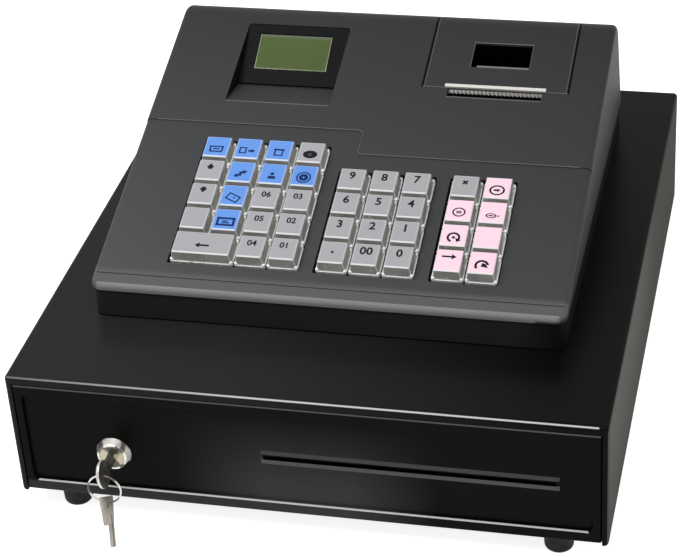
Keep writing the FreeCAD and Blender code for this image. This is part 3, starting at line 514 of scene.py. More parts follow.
def cover_painted_light(finish, tint, rough):
    """The cover and lid with painted light: painted shade to the back, to the right and on the right flank,
    painted light on the front, painted highlights on the rims, the step, the lid's edges, the paper's exit
    and the window's lip, painted shade under the step and in the display's well, and dark joints beside the
    lid.
    """
    back_shade = 0.9
    back_reach = 0.30
    right_shade = 0.36
    front = COVER_LOW.y
    face_depth = 0.0012
    rim_depth = 0.0025
    rim_low = 0.0043
    rim_high = 0.0053
    flank_width = 0.020
    pale_width = 0.0016
    joint_outside = 0.0013
    joint_inside = 0.0007
    lid_line = (-0.0002, 0.0008)
    well_overlap = 0.0003
    deck = finish.deck()
    # Painted shade: darker up the slope to the back, and towards the right
    tint = finish.mix(finish.spread(finish.axis("Y", deck), 0, back_shade, 0, back_reach), tint, COVER_BACK_SHADE)
    tint = finish.mix(finish.spread(finish.axis("X"), 0, right_shade, COVER_LOW.x, COVER_HIGH.x), tint,
                      COVER_RIGHT_SHADE)
    # Painted light on the front strip of the top and on the front face, and a painted highlight along the
    # front rim
    tint = finish.lay(tint, COVER_FRONT_LIGHT, 40 * HAIR, deck, **FRONT_STRIP)
    tint = finish.lay(tint, COVER_FACE_LIGHT, 3 * HAIR, Y=(front - LOOSE, front + face_depth))
    tint = finish.lay(tint, COVER_RIM_HIGHLIGHT, 3 * HAIR, Y=(front - LOOSE, front + rim_depth),
                      Z=(COVER_LOW.z + rim_low, COVER_LOW.z + rim_high))
    # Painted shade on the right flank
    tint = finish.lay(tint, COVER_FLANK_SHADE, 20 * HAIR, deck,
                      X=(COVER_HIGH.x - flank_width, COVER_HIGH.x + LOOSE), Z=FLANK_DEPTH)
    # Painted highlight on the raised panel's step, with a painted shadow under it
    tint = finish.lay(tint, RAISED_EDGE_HIGHLIGHT, vector=deck, Z=RAISED_HIGHLIGHT_BAND, **RAISED_FLAT)
    tint = finish.lay(tint, BLACK, vector=deck, Z=RAISED_SHADOW_BAND, **RAISED_FLAT)
    low, high = deck_box("printer_lid")
    # Painted highlights along the lid's sides, beside dark joints
    for x, inward in ((low.x, 1), (high.x, -1)):
        pale = sorted((x, x + inward * pale_width))
        dark = sorted((x - inward * joint_outside, x + inward * joint_inside))
        tint = finish.lay(tint, LID_EDGE_HIGHLIGHT, vector=deck, X=pale, Y=(low.y, BACK_END))
        tint = finish.lay(tint, BLACK, vector=deck, X=dark, Y=(low.y, BACK_END))
    # Painted highlights along the lid's front, the paper's exit and the window's lip
    tint = finish.lay(tint, LID_FRONT_HIGHLIGHT, vector=deck, X=(low.x, high.x),
                      Y=[low.y + reach for reach in lid_line])
    tint = finish.lay(tint, EXIT_EDGE_HIGHLIGHT, vector=deck, **PAPER_EXIT)
    tint = finish.lay(tint, WINDOW_LIP_HIGHLIGHT, vector=deck, **WINDOW_SILL)
    low, high = deck_box("display_bezel")
    # Painted shade in the display's well, black at its left wall
    tint = finish.lay(tint, WELL_SHADE, vector=deck, X=(low.x - well_overlap, high.x + well_overlap),
                      Y=(WELL_FRONT, low.y), Z=WELL_DEPTH)
    tint = finish.lay(tint, BLACK, vector=deck, X=(low.x - 7 * HAIR, low.x + HAIR), Y=WELL_SIDE, Z=WELL_DEPTH)
    return tint, rough


def board_parts(finish, tint, rough):
    """The board's parts: black chips and socket bodies, with tinned mouths at the back."""
    low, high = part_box("main_board")
    part_start = 0.0022
    socket_depth = 0.0060
    mouth_depth = 0.0003
    tint = finish.lay(tint, CHIP, Z=(low.z + part_start, high.z + LOOSE))
    tint = finish.lay(tint, CHIP, Y=(high.y - socket_depth, high.y + LOOSE))
    return finish.lay(tint, TINNED, Y=(high.y - mouth_depth, high.y + LOOSE)), rough


def base_painted_shade_and_joint(finish, tint, rough):
    """The base: painted shade darker at the right, with a dark joint where it stands on the case."""
    case_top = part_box("drawer_case")[1].z
    side_width = 0.006
    side_fade = 0.03
    joint = 0.0010
    # Painted shade on the right side
    tint = finish.lay(tint, BASE_RIGHT_SHADE, side_fade, X=(COVER_HIGH.x - side_width, COVER_HIGH.x + LOOSE))
    return finish.lay(tint, BLACK, 3 * HAIR, Z=(case_top - LOOSE, case_top + joint)), rough


def foot_painted_highlight(finish, tint, rough):
    """The feet: a pale line under the case, a painted highlight on their tops."""
    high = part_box("rubber_feet")[1].z
    line = 0.0010
    # Painted highlight along the feet's tops
    return finish.lay(tint, FOOT_HIGHLIGHT, 2 * HAIR, Z=(high - line, high + LOOSE)), rough


def brushed(name, colour, rough, stretch, metallic):
    """Metal with fine lines along one axis."""
    finish = Finish(name)
    dark, light = shades(colour, 0.16)
    lines = finish.noise(900.0, 3.0, finish.mapped(stretch))
    marks = finish.noise(60.0, 4.0)
    tint = finish.mix(finish.spread(lines, 0, 1), dark, light)
    tint = finish.mix(finish.spread(marks, 0, 0.25, 0.5, 0.8), tint, dark)
    return finish.done(tint, finish.spread(lines, *rough), finish.bump(lines, 0.00004), metallic=metallic)


def clear_plastic(name, body, glint, reach, scale):
    """Clear plastic: its body colour, broken by pale painted glints where the noise is high."""
    finish = Finish(name)
    dark, light = shades(body, 0.16)
    tint = finish.mix(finish.spread(finish.noise(70.0, 2.0), 0, 1), dark, light)
    # Painted glints
    tint = finish.mix(finish.spread(finish.noise(scale, 1.0), 0, 1, *reach), tint, glint)
    rough = finish.spread(finish.noise(400.0, 2.0), 0.08, 0.2)
    return finish.done(tint, rough, finish.bump(finish.noise(260.0, 1.0), 0.00003), specular_ior_level=0.5)


def turned(name, colour, rough, centre, sectors, metallic):
    """Turned metal: sectors of painted highlight and painted shade round an axis along y, standing in for its
    reflections, with fine lathe rings.
    """
    finish = Finish(name)
    waver = 0.7
    sector_shade_share = 0.14
    rings_per_metre = 900.0
    offset = finish.add("ShaderNodeVectorMath", operation="SUBTRACT")
    finish.link(finish.coordinates, offset.inputs[0])
    offset.inputs[1].default_value = centre
    place = offset.outputs["Vector"]
    angle = finish.math("ARCTAN2", finish.axis("Z", place), finish.axis("X", place))
    phase = finish.spread(finish.noise(160.0, 1.0), -math.pi / 2 - waver, -math.pi / 2 + waver)
    wave = finish.math("SINE", finish.math("MULTIPLY_ADD", angle, sectors, phase))
    # Painted highlight and painted shade in sectors round the axis
    dark = [channel * sector_shade_share for channel in colour]
    tint = finish.mix(finish.spread(wave, 1, 0, -0.1, 0.6), dark, colour)
    rings = finish.add("ShaderNodeTexWave", wave_type="RINGS", rings_direction="Y")
    rings.inputs["Scale"].default_value = rings_per_metre
    finish.link(place, rings.inputs["Vector"])
    gloss = finish.spread(rings.outputs["Fac"], *rough, 0.0, 1.0)
    return finish.done(tint, gloss, finish.bump(rings.outputs["Fac"], 0.00001), metallic=metallic)


def assign(material, *names):
    """Gives CAD nodes a finish."""
    for name in names:
        data = NODES[name].data
        data.materials.clear()
        data.materials.append(material)


# Modelling

def add_piece(name, mesh, materials, body, replaced=(), smooth=None):
    """Makes a bmesh an object that rides on a body, with its place in its mesh."""
    bmesh.ops.remove_doubles(mesh, verts=mesh.verts, dist=0.000001)
    data = bpy.data.meshes.new(name)
    mesh.to_mesh(data)
    mesh.free()
    for material in materials:
        data.materials.append(material)
    piece = bpy.data.objects.new(name, data)
    bpy.context.scene.collection.objects.link(piece)
    if smooth is not None:
        data.shade_smooth()
        data.set_sharp_from_angle(angle=math.radians(smooth))
    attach(piece, body)
    if replaced:
        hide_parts(*replaced)
    return piece


def facing_frame(node):
    """A frame on the node's largest upward surface: x to the right, z out of the surface."""
    totals = {}
    for face in NODES[node].data.polygons:
        if face.normal.z > 0:
            key = tuple(round(part, 2) for part in face.normal)
            area, normal, centre = totals.get(key, (0.0, Vector(), Vector()))
            totals[key] = (area + face.area, normal + face.normal * face.area,
                           centre + face.center * face.area)
    area, normal, centre = max(totals.values(), key=lambda item: item[0])
    up = normal.normalized()
    right = Vector((1, 0, 0))
    turn = Matrix((right, up.cross(right), up)).transposed().to_4x4()
    return Matrix.Translation(centre / area) @ turn


def window_box(node, place):
    """Lowest and highest corner of the part of a node that stands highest in a frame."""
    points = points_in(node, place)
    top = max(point.z for point in points)
    return corners([point for point in points if point.z > top - HAIR])


def body_of_node(node):
    """The body that a node rides on."""
    return NODES[node]["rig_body"]


def block(mesh, low, high, bevel=0.0, material=0):
    """Adds a box between two corners, with its edges rounded."""
    made = bmesh.ops.create_cube(mesh, size=1)
    bmesh.ops.scale(mesh, vec=Vector(high) - Vector(low), verts=made["verts"])
    bmesh.ops.translate(mesh, vec=(Vector(high) + Vector(low)) / 2, verts=made["verts"])
    faces = list({face for vert in made["verts"] for face in vert.link_faces})
    edges = list({edge for vert in made["verts"] for edge in vert.link_edges})
    if bevel:
        done = bmesh.ops.bevel(mesh, geom=edges, offset=bevel, segments=2, profile=0.5, material=-1,
                               affect="EDGES")
        faces = [face for face in faces if face.is_valid] + done["faces"]
    for face in faces:
        face.material_index = material


def disc(mesh, matrix, radius, depth, segments, bevel):
    """Adds a rod with rounded ends to an empty mesh, along the matrix's z, from its origin down to -depth."""
    made = bmesh.ops.create_cone(mesh, cap_ends=True, segments=segments, radius1=radius, radius2=radius,
                                 depth=depth)
    bmesh.ops.translate(mesh, vec=(0, 0, -depth / 2), verts=made["verts"])
    edges = list({edge for face in mesh.faces if len(face.verts) > 4 for edge in face.edges})
    bmesh.ops.bevel(mesh, geom=edges, offset=bevel, segments=2, profile=0.5, material=-1, affect="EDGES")
    move_all(mesh, matrix)


def move_all(mesh, matrix):
    """Moves every point of a mesh."""
    bmesh.ops.transform(mesh, matrix=matrix, verts=mesh.verts)


# Keys: marks by key, on the readable side; numbers are written out

BLUE_KEYS = {"function": {1, 2, 3, 6, 7, 8, 10, 14}}
PINK_KEYS = {"control": {2, 3, 4, 5, 6, 7, 8}}
MARKS = {
    "function": ["drawer", "slip", "feed", "oval", "up", "swap", "person", "rings", "down", "card", "06",
                 "03", "", "cheque", "05", "02", "left", "04", "01"],
    "number": ["9", "8", "7", "6", "5", "4", "3", "2", "1", ".", "00", "0"],
    "control": ["cross", "pill", "circle", "dot", "cycle", "", "right", "sweep"],
}


def key_colour(block_name, number):
    """Name of a key's insert colour."""
    if number in BLUE_KEYS.get(block_name, ()):
        return "blue"
    if number in PINK_KEYS.get(block_name, ()):
        return "pink"
    return "grey"


DIGIT_LIFT = 0.12
SMALL_DIGIT = 0.76
CAPITAL_SHARE = 0.72
BOLD_SHARE = 0.024
HEAD_SHARE = 0.75


class Marks:
    """Draws thin printed marks on a key's top, in units of the key's own width."""

    def __init__(self, mesh, unit, top, ink, weight, material):
        self.mesh = mesh
        self.unit = unit
        self.weight = weight
        self.top = top
        self.ink = ink
        self.material = material
        self.centre = 0.0

    def raise_faces(self, faces):
        """Gives flat faces the ink's thickness."""
        made = bmesh.ops.extrude_face_region(self.mesh, geom=faces)
        verts = [item for item in made["geom"] if isinstance(item, bmesh.types.BMVert)]
        bmesh.ops.translate(self.mesh, vec=(0, 0, self.ink), verts=verts)
        for vert in verts:
            for face in vert.link_faces:
                face.material_index = self.material

    def outline(self, points):
        """A filled polygon from points in the key's units."""
        verts = [self.mesh.verts.new((x * self.unit, (y + self.centre) * self.unit, self.top))
                 for x, y in points]
        face = self.mesh.faces.new(verts)
        face.normal_update()
        if face.normal.z < 0:
            face.normal_flip()
        self.raise_faces([face])

    def bar(self, x0, y0, x1, y1, width):
        """A straight stroke between two points."""
        start = Vector((x0, y0))
        end = Vector((x1, y1))
        side = (end - start).normalized().orthogonal() * width * self.weight / 2
        self.outline([start + side, end + side, end - side, start - side])

    def frame(self, points, width):
        """A closed stroke along a polygon."""
        ring = list(zip(points, points[1:] + points[:1]))
        for (x0, y0), (x1, y1) in ring:
            reach = Vector((x1 - x0, y1 - y0)).normalized() * width * self.weight / 2
            self.bar(x0 - reach.x, y0 - reach.y, x1 + reach.x, y1 + reach.y, width)

    def arc(self, x, y, radius, start, end, width, steps=20, squeeze=1.0):
        """A curved stroke round a point, in degrees."""
        made = bmesh.ops.create_grid(self.mesh, x_segments=steps, y_segments=1, size=0.5)
        for vert in made["verts"]:
            angle = math.radians(start + (end - start) * (vert.co.x + 0.5))
            reach = radius + vert.co.y * width * self.weight
            vert.co = Vector(((x + reach * math.cos(angle)) * self.unit,
                              (y + self.centre + reach * squeeze * math.sin(angle)) * self.unit, self.top))
        faces = list({face for vert in made["verts"] for face in vert.link_faces})
        bmesh.ops.recalc_face_normals(self.mesh, faces=faces)
        for face in faces:
            face.normal_update()
            if face.normal.z < 0:
                face.normal_flip()
        self.raise_faces(faces)

    def dot(self, x, y, radius, squeeze=1.0, steps=20):
        """A filled circle or oval."""
        turn = [2 * math.pi * step / steps for step in range(steps)]
        self.outline([(x + radius * math.cos(a), y + radius * squeeze * math.sin(a)) for a in turn])

    def arrow(self, x, y, angle, length, width, head):
        """An arrow that points along an angle, centred on a point."""
        a = math.radians(angle)
        along = Vector((math.cos(a), math.sin(a)))
        across = along.orthogonal()
        middle = Vector((x, y))
        tip = middle + along * length / 2
        neck = tip - along * head
        tail = middle - along * length / 2
        if length > head:
            self.bar(*tail, *neck, width)
        self.outline([tip, neck + across * head * HEAD_SHARE, neck - across * head * HEAD_SHARE])

    def text(self, words, height):
        """A number, from the built-in font, centred."""
        curve = bpy.data.curves.new("digits", "FONT")
        curve.body = words
        curve.size = height / CAPITAL_SHARE
        curve.align_x = "CENTER"
        curve.align_y = "CENTER"
        curve.resolution_u = 3
        curve.offset = height * BOLD_SHARE * self.weight
        holder = bpy.data.objects.new("digits", curve)
        bpy.context.scene.collection.objects.link(holder)
        bpy.context.view_layer.update()
        data = bpy.data.meshes.new_from_object(holder.evaluated_get(bpy.context.evaluated_depsgraph_get()))
        before = set(self.mesh.faces)
        self.mesh.from_mesh(data)
        faces = [face for face in self.mesh.faces if face not in before]
        verts = list({vert for face in faces for vert in face.verts})
        bmesh.ops.translate(self.mesh, vec=(0, DIGIT_LIFT * self.unit, self.top), verts=verts)
        for face in faces:
            face.normal_update()
            if face.normal.z < 0:
                face.normal_flip()
        self.raise_faces(faces)
        bpy.data.objects.remove(holder)
        bpy.data.curves.remove(curve)
        bpy.data.meshes.remove(data)


def sheet(left, low, right, high, lean=0):
    """Corners of a rectangle in order, leaning by an angle in degrees."""
    turn = Matrix.Rotation(math.radians(lean), 2)
    return [tuple(turn @ Vector(point)) for point in ((left, low), (right, low), (right, high), (left, high))]


# Strokes of each mark: the height of its centre on the key, then each stroke's kind and numbers, all as
# shares of the key's top, with angles in degrees

UNDER = -0.10
OVER = 0.17
STROKE_SHARES = {
    ".": (0, ("dot", 0, 0, 0.045)),
    "drawer": (UNDER, ("frame", [(-0.18, -0.11), (0.18, -0.11), (0.20, 0.10), (-0.20, 0.10)], 0.035),
               ("bar", -0.10, 0, 0.10, 0, 0.03)),
    "slip": (UNDER, ("frame", sheet(-0.24, -0.10, -0.05, 0.12), 0.03),
             ("arrow", 0.14, 0, 0, 0.22, 0.05, 0.11)),
    "feed": (UNDER, ("frame", sheet(-0.12, -0.12, 0.12, 0.12), 0.03),
             ("bar", -0.17, 0.12, 0.17, 0.12, 0.04)),
    "oval": (UNDER, ("arc", 0, 0, 0.145, 0, 360, 0.11, 28, 0.72), ("bar", -0.05, 0, 0.05, 0, 0.04)),
    "up": (OVER, ("arrow", 0, -0.02, 90, 0.24, 0.09, 0.17)),
    "down": (OVER, ("arrow", 0, -0.02, 270, 0.24, 0.09, 0.17)),
    "left": (UNDER, ("arrow", 0, 0, 180, 0.44, 0.045, 0.14)),
    "right": (OVER, ("arrow", 0, -0.03, 0, 0.44, 0.04, 0.14)),
    "swap": (UNDER, ("arrow", 0.08, 0.08, 20, 0.26, 0.06, 0.12),
             ("arrow", -0.08, -0.06, 200, 0.26, 0.06, 0.12)),
    "person": (UNDER, ("dot", 0, 0.09, 0.06),
               ("outline", [(-0.13, -0.12), (0.13, -0.12), (0.10, 0), (-0.10, 0)])),
    "rings": (UNDER, ("arc", 0, 0.02, 0.21, 0, 360, 0.032, 32), ("arc", 0, 0.02, 0.09, 0, 360, 0.075, 24)),
    "card": (UNDER, ("frame", sheet(-0.19, -0.12, 0.19, 0.12, -25), 0.03), ("dot", 0.04, 0, 0.035)),
    "cheque": (UNDER, ("frame", sheet(-0.25, -0.13, 0.25, 0.14), 0.05),
               ("bar", -0.12, -0.04, 0.12, -0.04, 0.03), ("bar", -0.12, 0.03, 0.06, 0.03, 0.03)),
    "cross": (OVER, ("bar", -0.07, -0.10, 0.07, 0.04, 0.04), ("bar", -0.07, 0.04, 0.07, -0.10, 0.04)),
    "pill": (UNDER, ("arc", 0, 0, 0.21, 0, 360, 0.04, 28, 0.85), ("arrow", 0, 0, 0, 0.2, 0.045, 0.09)),
    "circle": (UNDER, ("arc", 0, 0.02, 0.18, 0, 360, 0.03, 28, 0.9),
               ("bar", -0.08, 0.05, 0.08, 0.05, 0.025), ("bar", -0.08, -0.01, 0.08, -0.01, 0.025)),
    "dot": (UNDER, ("arc", -0.03, -0.04, 0.14, 0, 360, 0.03, 24, 0.6),
            ("bar", -0.10, -0.04, 0.04, -0.04, 0.03), ("bar", 0.15, -0.04, 0.22, -0.04, 0.03)),
    "cycle": (UNDER, ("arc", 0, 0, 0.17, -20, 250, 0.045, 24),
              ("arrow", 0.13, -0.12, 250, 0.12, 0.05, 0.13), ("dot", 0, 0, 0.05)),
    "sweep": (UNDER, ("arc", 0, -0.02, 0.18, 10, 220, 0.05, 24),
              ("outline", [(-0.02, -0.06), (0.20, -0.10), (0.10, 0.06), (0, 0.08)])),
}


def draw_mark(marks, name, digit):
    """Draws one key's mark by its name, or a number."""
    if name[:1].isdigit():
        marks.text(name, digit)
    elif name:
        marks.centre, *strokes = STROKE_SHARES[name]
        for kind, *numbers in strokes:
            getattr(marks, kind)(*numbers)


def key_cap(name, block_name, number, sizes, materials):
    """A clear cap over a coloured insert, with its mark, in place of the plain key; light in the clear
    plastic is shown by painted highlights on the flange, the top's edges and the corner beads.
    """
    low, high = deck_box(name)
    middle = (low + high) / 2
    wide = high.x - low.x
    deep = high.y - low.y
    skirt, flange, edge, insert, ink, rim, bead_part = range(7)
    mesh = bmesh.new()
    base = bmesh.ops.create_cube(mesh, size=1)
    bmesh.ops.scale(mesh, vec=(wide, deep, sizes.flange), verts=base["verts"])
    bmesh.ops.translate(mesh, vec=(0, 0, -sizes.flange / 2), verts=base["verts"])
    upright = [item for item in mesh.edges if abs(item.verts[0].co.z - item.verts[1].co.z) > sizes.flange / 2]
    bmesh.ops.bevel(mesh, geom=upright, offset=sizes.corner, segments=3, profile=0.5, material=-1,
                    affect="EDGES")
    top = max(mesh.faces, key=lambda face: face.calc_center_median().z)
    bmesh.ops.inset_region(mesh, faces=[top], thickness=sizes.ledge, use_even_offset=True)
    drawn_in = [deep - top_size - 2 * sizes.ledge - 2 * sizes.chamfer
                for top_size in (sizes.key_wide, sizes.key_top)]
    for rise, narrow in ((KEY_RISE - sizes.chamfer, drawn_in), (sizes.chamfer, [2 * sizes.chamfer] * 2)):
        made = bmesh.ops.extrude_face_region(mesh, geom=[top])
        bmesh.ops.delete(mesh, geom=[top], context="FACES_ONLY")
        verts = [item for item in made["geom"] if isinstance(item, bmesh.types.BMVert)]
        top = [item for item in made["geom"] if isinstance(item, bmesh.types.BMFace)][0]
        start, end = corners([vert.co for vert in verts])
        span = end - start
        bmesh.ops.translate(mesh, vec=(0, 0, rise), verts=verts)
        bmesh.ops.scale(mesh, vec=(1 - narrow[0] / span[0], 1 - narrow[1] / span[1], 1), verts=verts)
    bmesh.ops.inset_region(mesh, faces=[top], thickness=sizes.border, use_even_offset=True)
    mesh.normal_update()
    # Faces take their finish by place: the pale flange on the ledge and the slanted corners, a painted
    # highlight on the front chamfer, a paler painted rim on the rest of the chamfer
    for face in mesh.faces:
        height = face.calc_center_median().z
        slanted = min(abs(face.normal.x), abs(face.normal.y)) > abs(face.normal.z) + CORNER_SHARE
        if height < sizes.ledge:
            face.material_index = flange
        elif height > KEY_RISE - sizes.chamfer:
            near_front = face.calc_center_median().y < -(sizes.key_top / 2 - sizes.chamfer)
            face.material_index = edge if near_front and abs(face.normal.x) < CORNER_SHARE else rim
        elif slanted:
            face.material_index = flange
        else:
            face.material_index = skirt
    top.material_index = insert
    # Beads at the corners: painted glints of the clear flange
    for side_x in (-1, 1):
        for side_y in (-1, 1):
            bead = bmesh.ops.create_icosphere(mesh, subdivisions=2, radius=sizes.bead)
            bmesh.ops.translate(mesh, verts=bead["verts"], vec=(
                side_x * (wide / 2 - sizes.bead), side_y * (deep / 2 - sizes.bead), sizes.ledge))
            for face in {face for vert in bead["verts"] for face in vert.link_faces}:
                face.material_index = bead_part
    mark = MARKS[block_name][number - 1]
    digit = sizes.digit * (SMALL_DIGIT if mark.startswith("0") and block_name == "function" else 1)
    marks = Marks(mesh, sizes.key_top * sizes.icon, KEY_RISE + sizes.ink / 4, sizes.ink, sizes.weight, ink)
    draw_mark(marks, mark, digit)
    move_all(mesh, DECK @ Matrix.Translation((middle.x, middle.y, 0)))
    colour = key_colour(block_name, number)
    used = [materials[part] for part in ("skirt", "flange", "edge_" + colour, colour,
                                         "navy" if colour == "blue" else "ink", "rim_" + colour, "bead")]
    add_piece("cap_" + name[len("key_"):], mesh, used, body_of_node(name), [name],
              smooth=35)


class REGISTER_OT_drawer(bpy.types.Operator):
    """Paints the drawer's case, its sliding box, front, tray and feet"""
    bl_idname = "register.drawer"
    bl_label = "Cash drawer"

    def execute(self, context):
        colours = context.scene.register_colours
        assign(moulded("case_paint", colours.paint, rough=(0.28, 0.38), grain=900.0, depth=0.00002,
                       drift=0.05, over=case_painted_light, specular_ior_level=0.04), "drawer_case")
        assign(moulded("drawer_box_paint", colours.paint, rough=(0.35, 0.5), grain=1200.0, depth=0.00003,
                       specular_ior_level=0.15), "drawer_box")
        assign(moulded("drawer_front_moulding", colours.front, rough=(0.3, 0.42), grain=1500.0,
                       depth=0.00003, drift=0.06, over=front_painted_light, specular_ior_level=0.035), "drawer_front")
        assign(moulded("tray_moulding", (0.014, 0.014, 0.015), rough=(0.38, 0.55), grain=1100.0,
                       depth=0.00005, specular_ior_level=0.25), "cash_tray")
        assign(moulded("foot_rubber", (0.009, 0.009, 0.010), rough=(0.5, 0.7), grain=700.0, depth=0.00006,
                       over=foot_painted_highlight, specular_ior_level=0.15), "rubber_feet")
        return {"FINISHED"}


class REGISTER_OT_shells(bpy.types.Operator):
    """Finishes the register's mouldings"""
    bl_idname = "register.shells"
    bl_label = "Register shells"

    def execute(self, context):
        colours = context.scene.register_colours
        assign(moulded("cover_texture", colours.cover, rough=(0.46, 0.6), grain=1700.0, depth=0.00009,
                       drift=0.04, over=cover_painted_light, specular_ior_level=0.1), "register_cover", "printer_lid")
        assign(moulded("base_moulding", colours.base, rough=(0.3, 0.42), grain=1500.0, depth=0.00004,
                       drift=0.05, over=base_painted_shade_and_joint, specular_ior_level=0.08), "register_base")
        assign(moulded("mechanism_moulding", (0.006, 0.006, 0.007), rough=(0.4, 0.55), grain=900.0,
                       depth=0.00004, specular_ior_level=0.15), "printer_mechanism", "key_guide")
        return {"FINISHED"}


class REGISTER_OT_display(bpy.types.Operator):
    """Finishes the display and its panel, and adds the pale edge round the glass"""
    bl_idname = "register.display"
    bl_label = "Display"

    def execute(self, context):
        colours = context.scene.register_colours
        rim = context.scene.register_sizes.rim
        glass_reflection_height = 0.0016
        assign(moulded("display_panel", colours.bezel, rough=(0.2, 0.32), grain=1300.0, depth=0.00001,
                       drift=0.05, specular_ior_level=0.09), "display_bezel")
        plane = facing_frame("lcd_module")
        low, high = window_box("lcd_module", plane)
        top = (plane @ high).z
        finish = Finish("display_glass")
        tint = finish.mix(finish.spread(finish.noise(14.0, 2.0), 0, 1), *shades(colours.display, 0.06))
        # Painted reflection: a paler band at the top of the glass
        tint = finish.mix(finish.spread(finish.axis("Z"), 0, 1, top - glass_reflection_height, top), tint, GLASS_TOP_REFLECTION)
        rough = finish.spread(finish.noise(400.0, 2.0), 0.22, 0.3)
        assign(finish.done(tint, rough, finish.bump(finish.noise(2500.0), 0.000003), specular_ior_level=0.1),
               "lcd_module")
        mesh = bmesh.new()
        for x0, x1, y0, y1 in ((low.x, low.x + rim, low.y, high.y), (high.x - rim, high.x, low.y, high.y),
                               (low.x + rim, high.x - rim, low.y, low.y + rim)):
            block(mesh, (x0, y0, high.z - rim / 2), (x1, y1, high.z + rim / 4), rim / 8)
        move_all(mesh, plane)
        pale = moulded("display_edge", (0.18, 0.22, 0.125), rough=(0.2, 0.3), grain=900.0, depth=0.00001,
                       drift=0.05)
        add_piece("display_edge", mesh, [pale], body_of_node("lcd_module"), smooth=30)
        return {"FINISHED"}


class REGISTER_OT_keys(bpy.types.Operator):
    """Builds the clear key caps with their coloured inserts and marks"""
    bl_idname = "register.keys"
    bl_label = "Keys"

    def execute(self, context):
        sizes = context.scene.register_sizes
        colours = context.scene.register_colours
        # The flange's pale tone, the glints and the beads are painted highlights of the clear plastic
        flange_highlight = shades(colours.edge, 0.35)[0]
        matt_ink = {"rough": (0.4, 0.5), "grain": 900.0, "depth": 0.00001, "specular_ior_level": 0.05}
        materials = {
            "skirt": clear_plastic("clear_skirt", colours.skirt, colours.edge, (0.62, 0.95), 190.0),
            "flange": clear_plastic("clear_flange", flange_highlight, colours.edge, (0.25, 0.48), 330.0),
            "bead": moulded("clear_bead", (0.96, 0.96, 0.95), rough=(0.1, 0.2), grain=300.0, depth=0.00001),
            "ink": moulded("key_ink", colours.ink, **matt_ink),
            "navy": moulded("navy_ink", colours.navy, **matt_ink),
        }
        for name in ("grey", "blue", "pink"):
            colour = getattr(colours, name)
            materials[name] = moulded("key_insert_" + name, colour, rough=(0.25, 0.4), grain=1200.0,
                                      depth=0.00001, drift=0.03, specular_ior_level=0.2)
            # Each insert's front edge and rim take paler tones of its colour: painted highlights of the clear
            # plastic
            for part, share in (("edge", 0.8), ("rim", 0.22)):
                paler = [own + (white - own) * share for own, white in zip(colour, colours.edge)]
                materials[part + "_" + name] = moulded("clear_%s_%s" % (part, name), paler, rough=(0.1, 0.2),
                                                       grain=500.0, depth=0.00001, drift=0.05)
        for block_name in MARKS:
            for number, name in enumerate(key_names(block_name), 1):
                key_cap(name, block_name, number, sizes, materials)
        return {"FINISHED"}


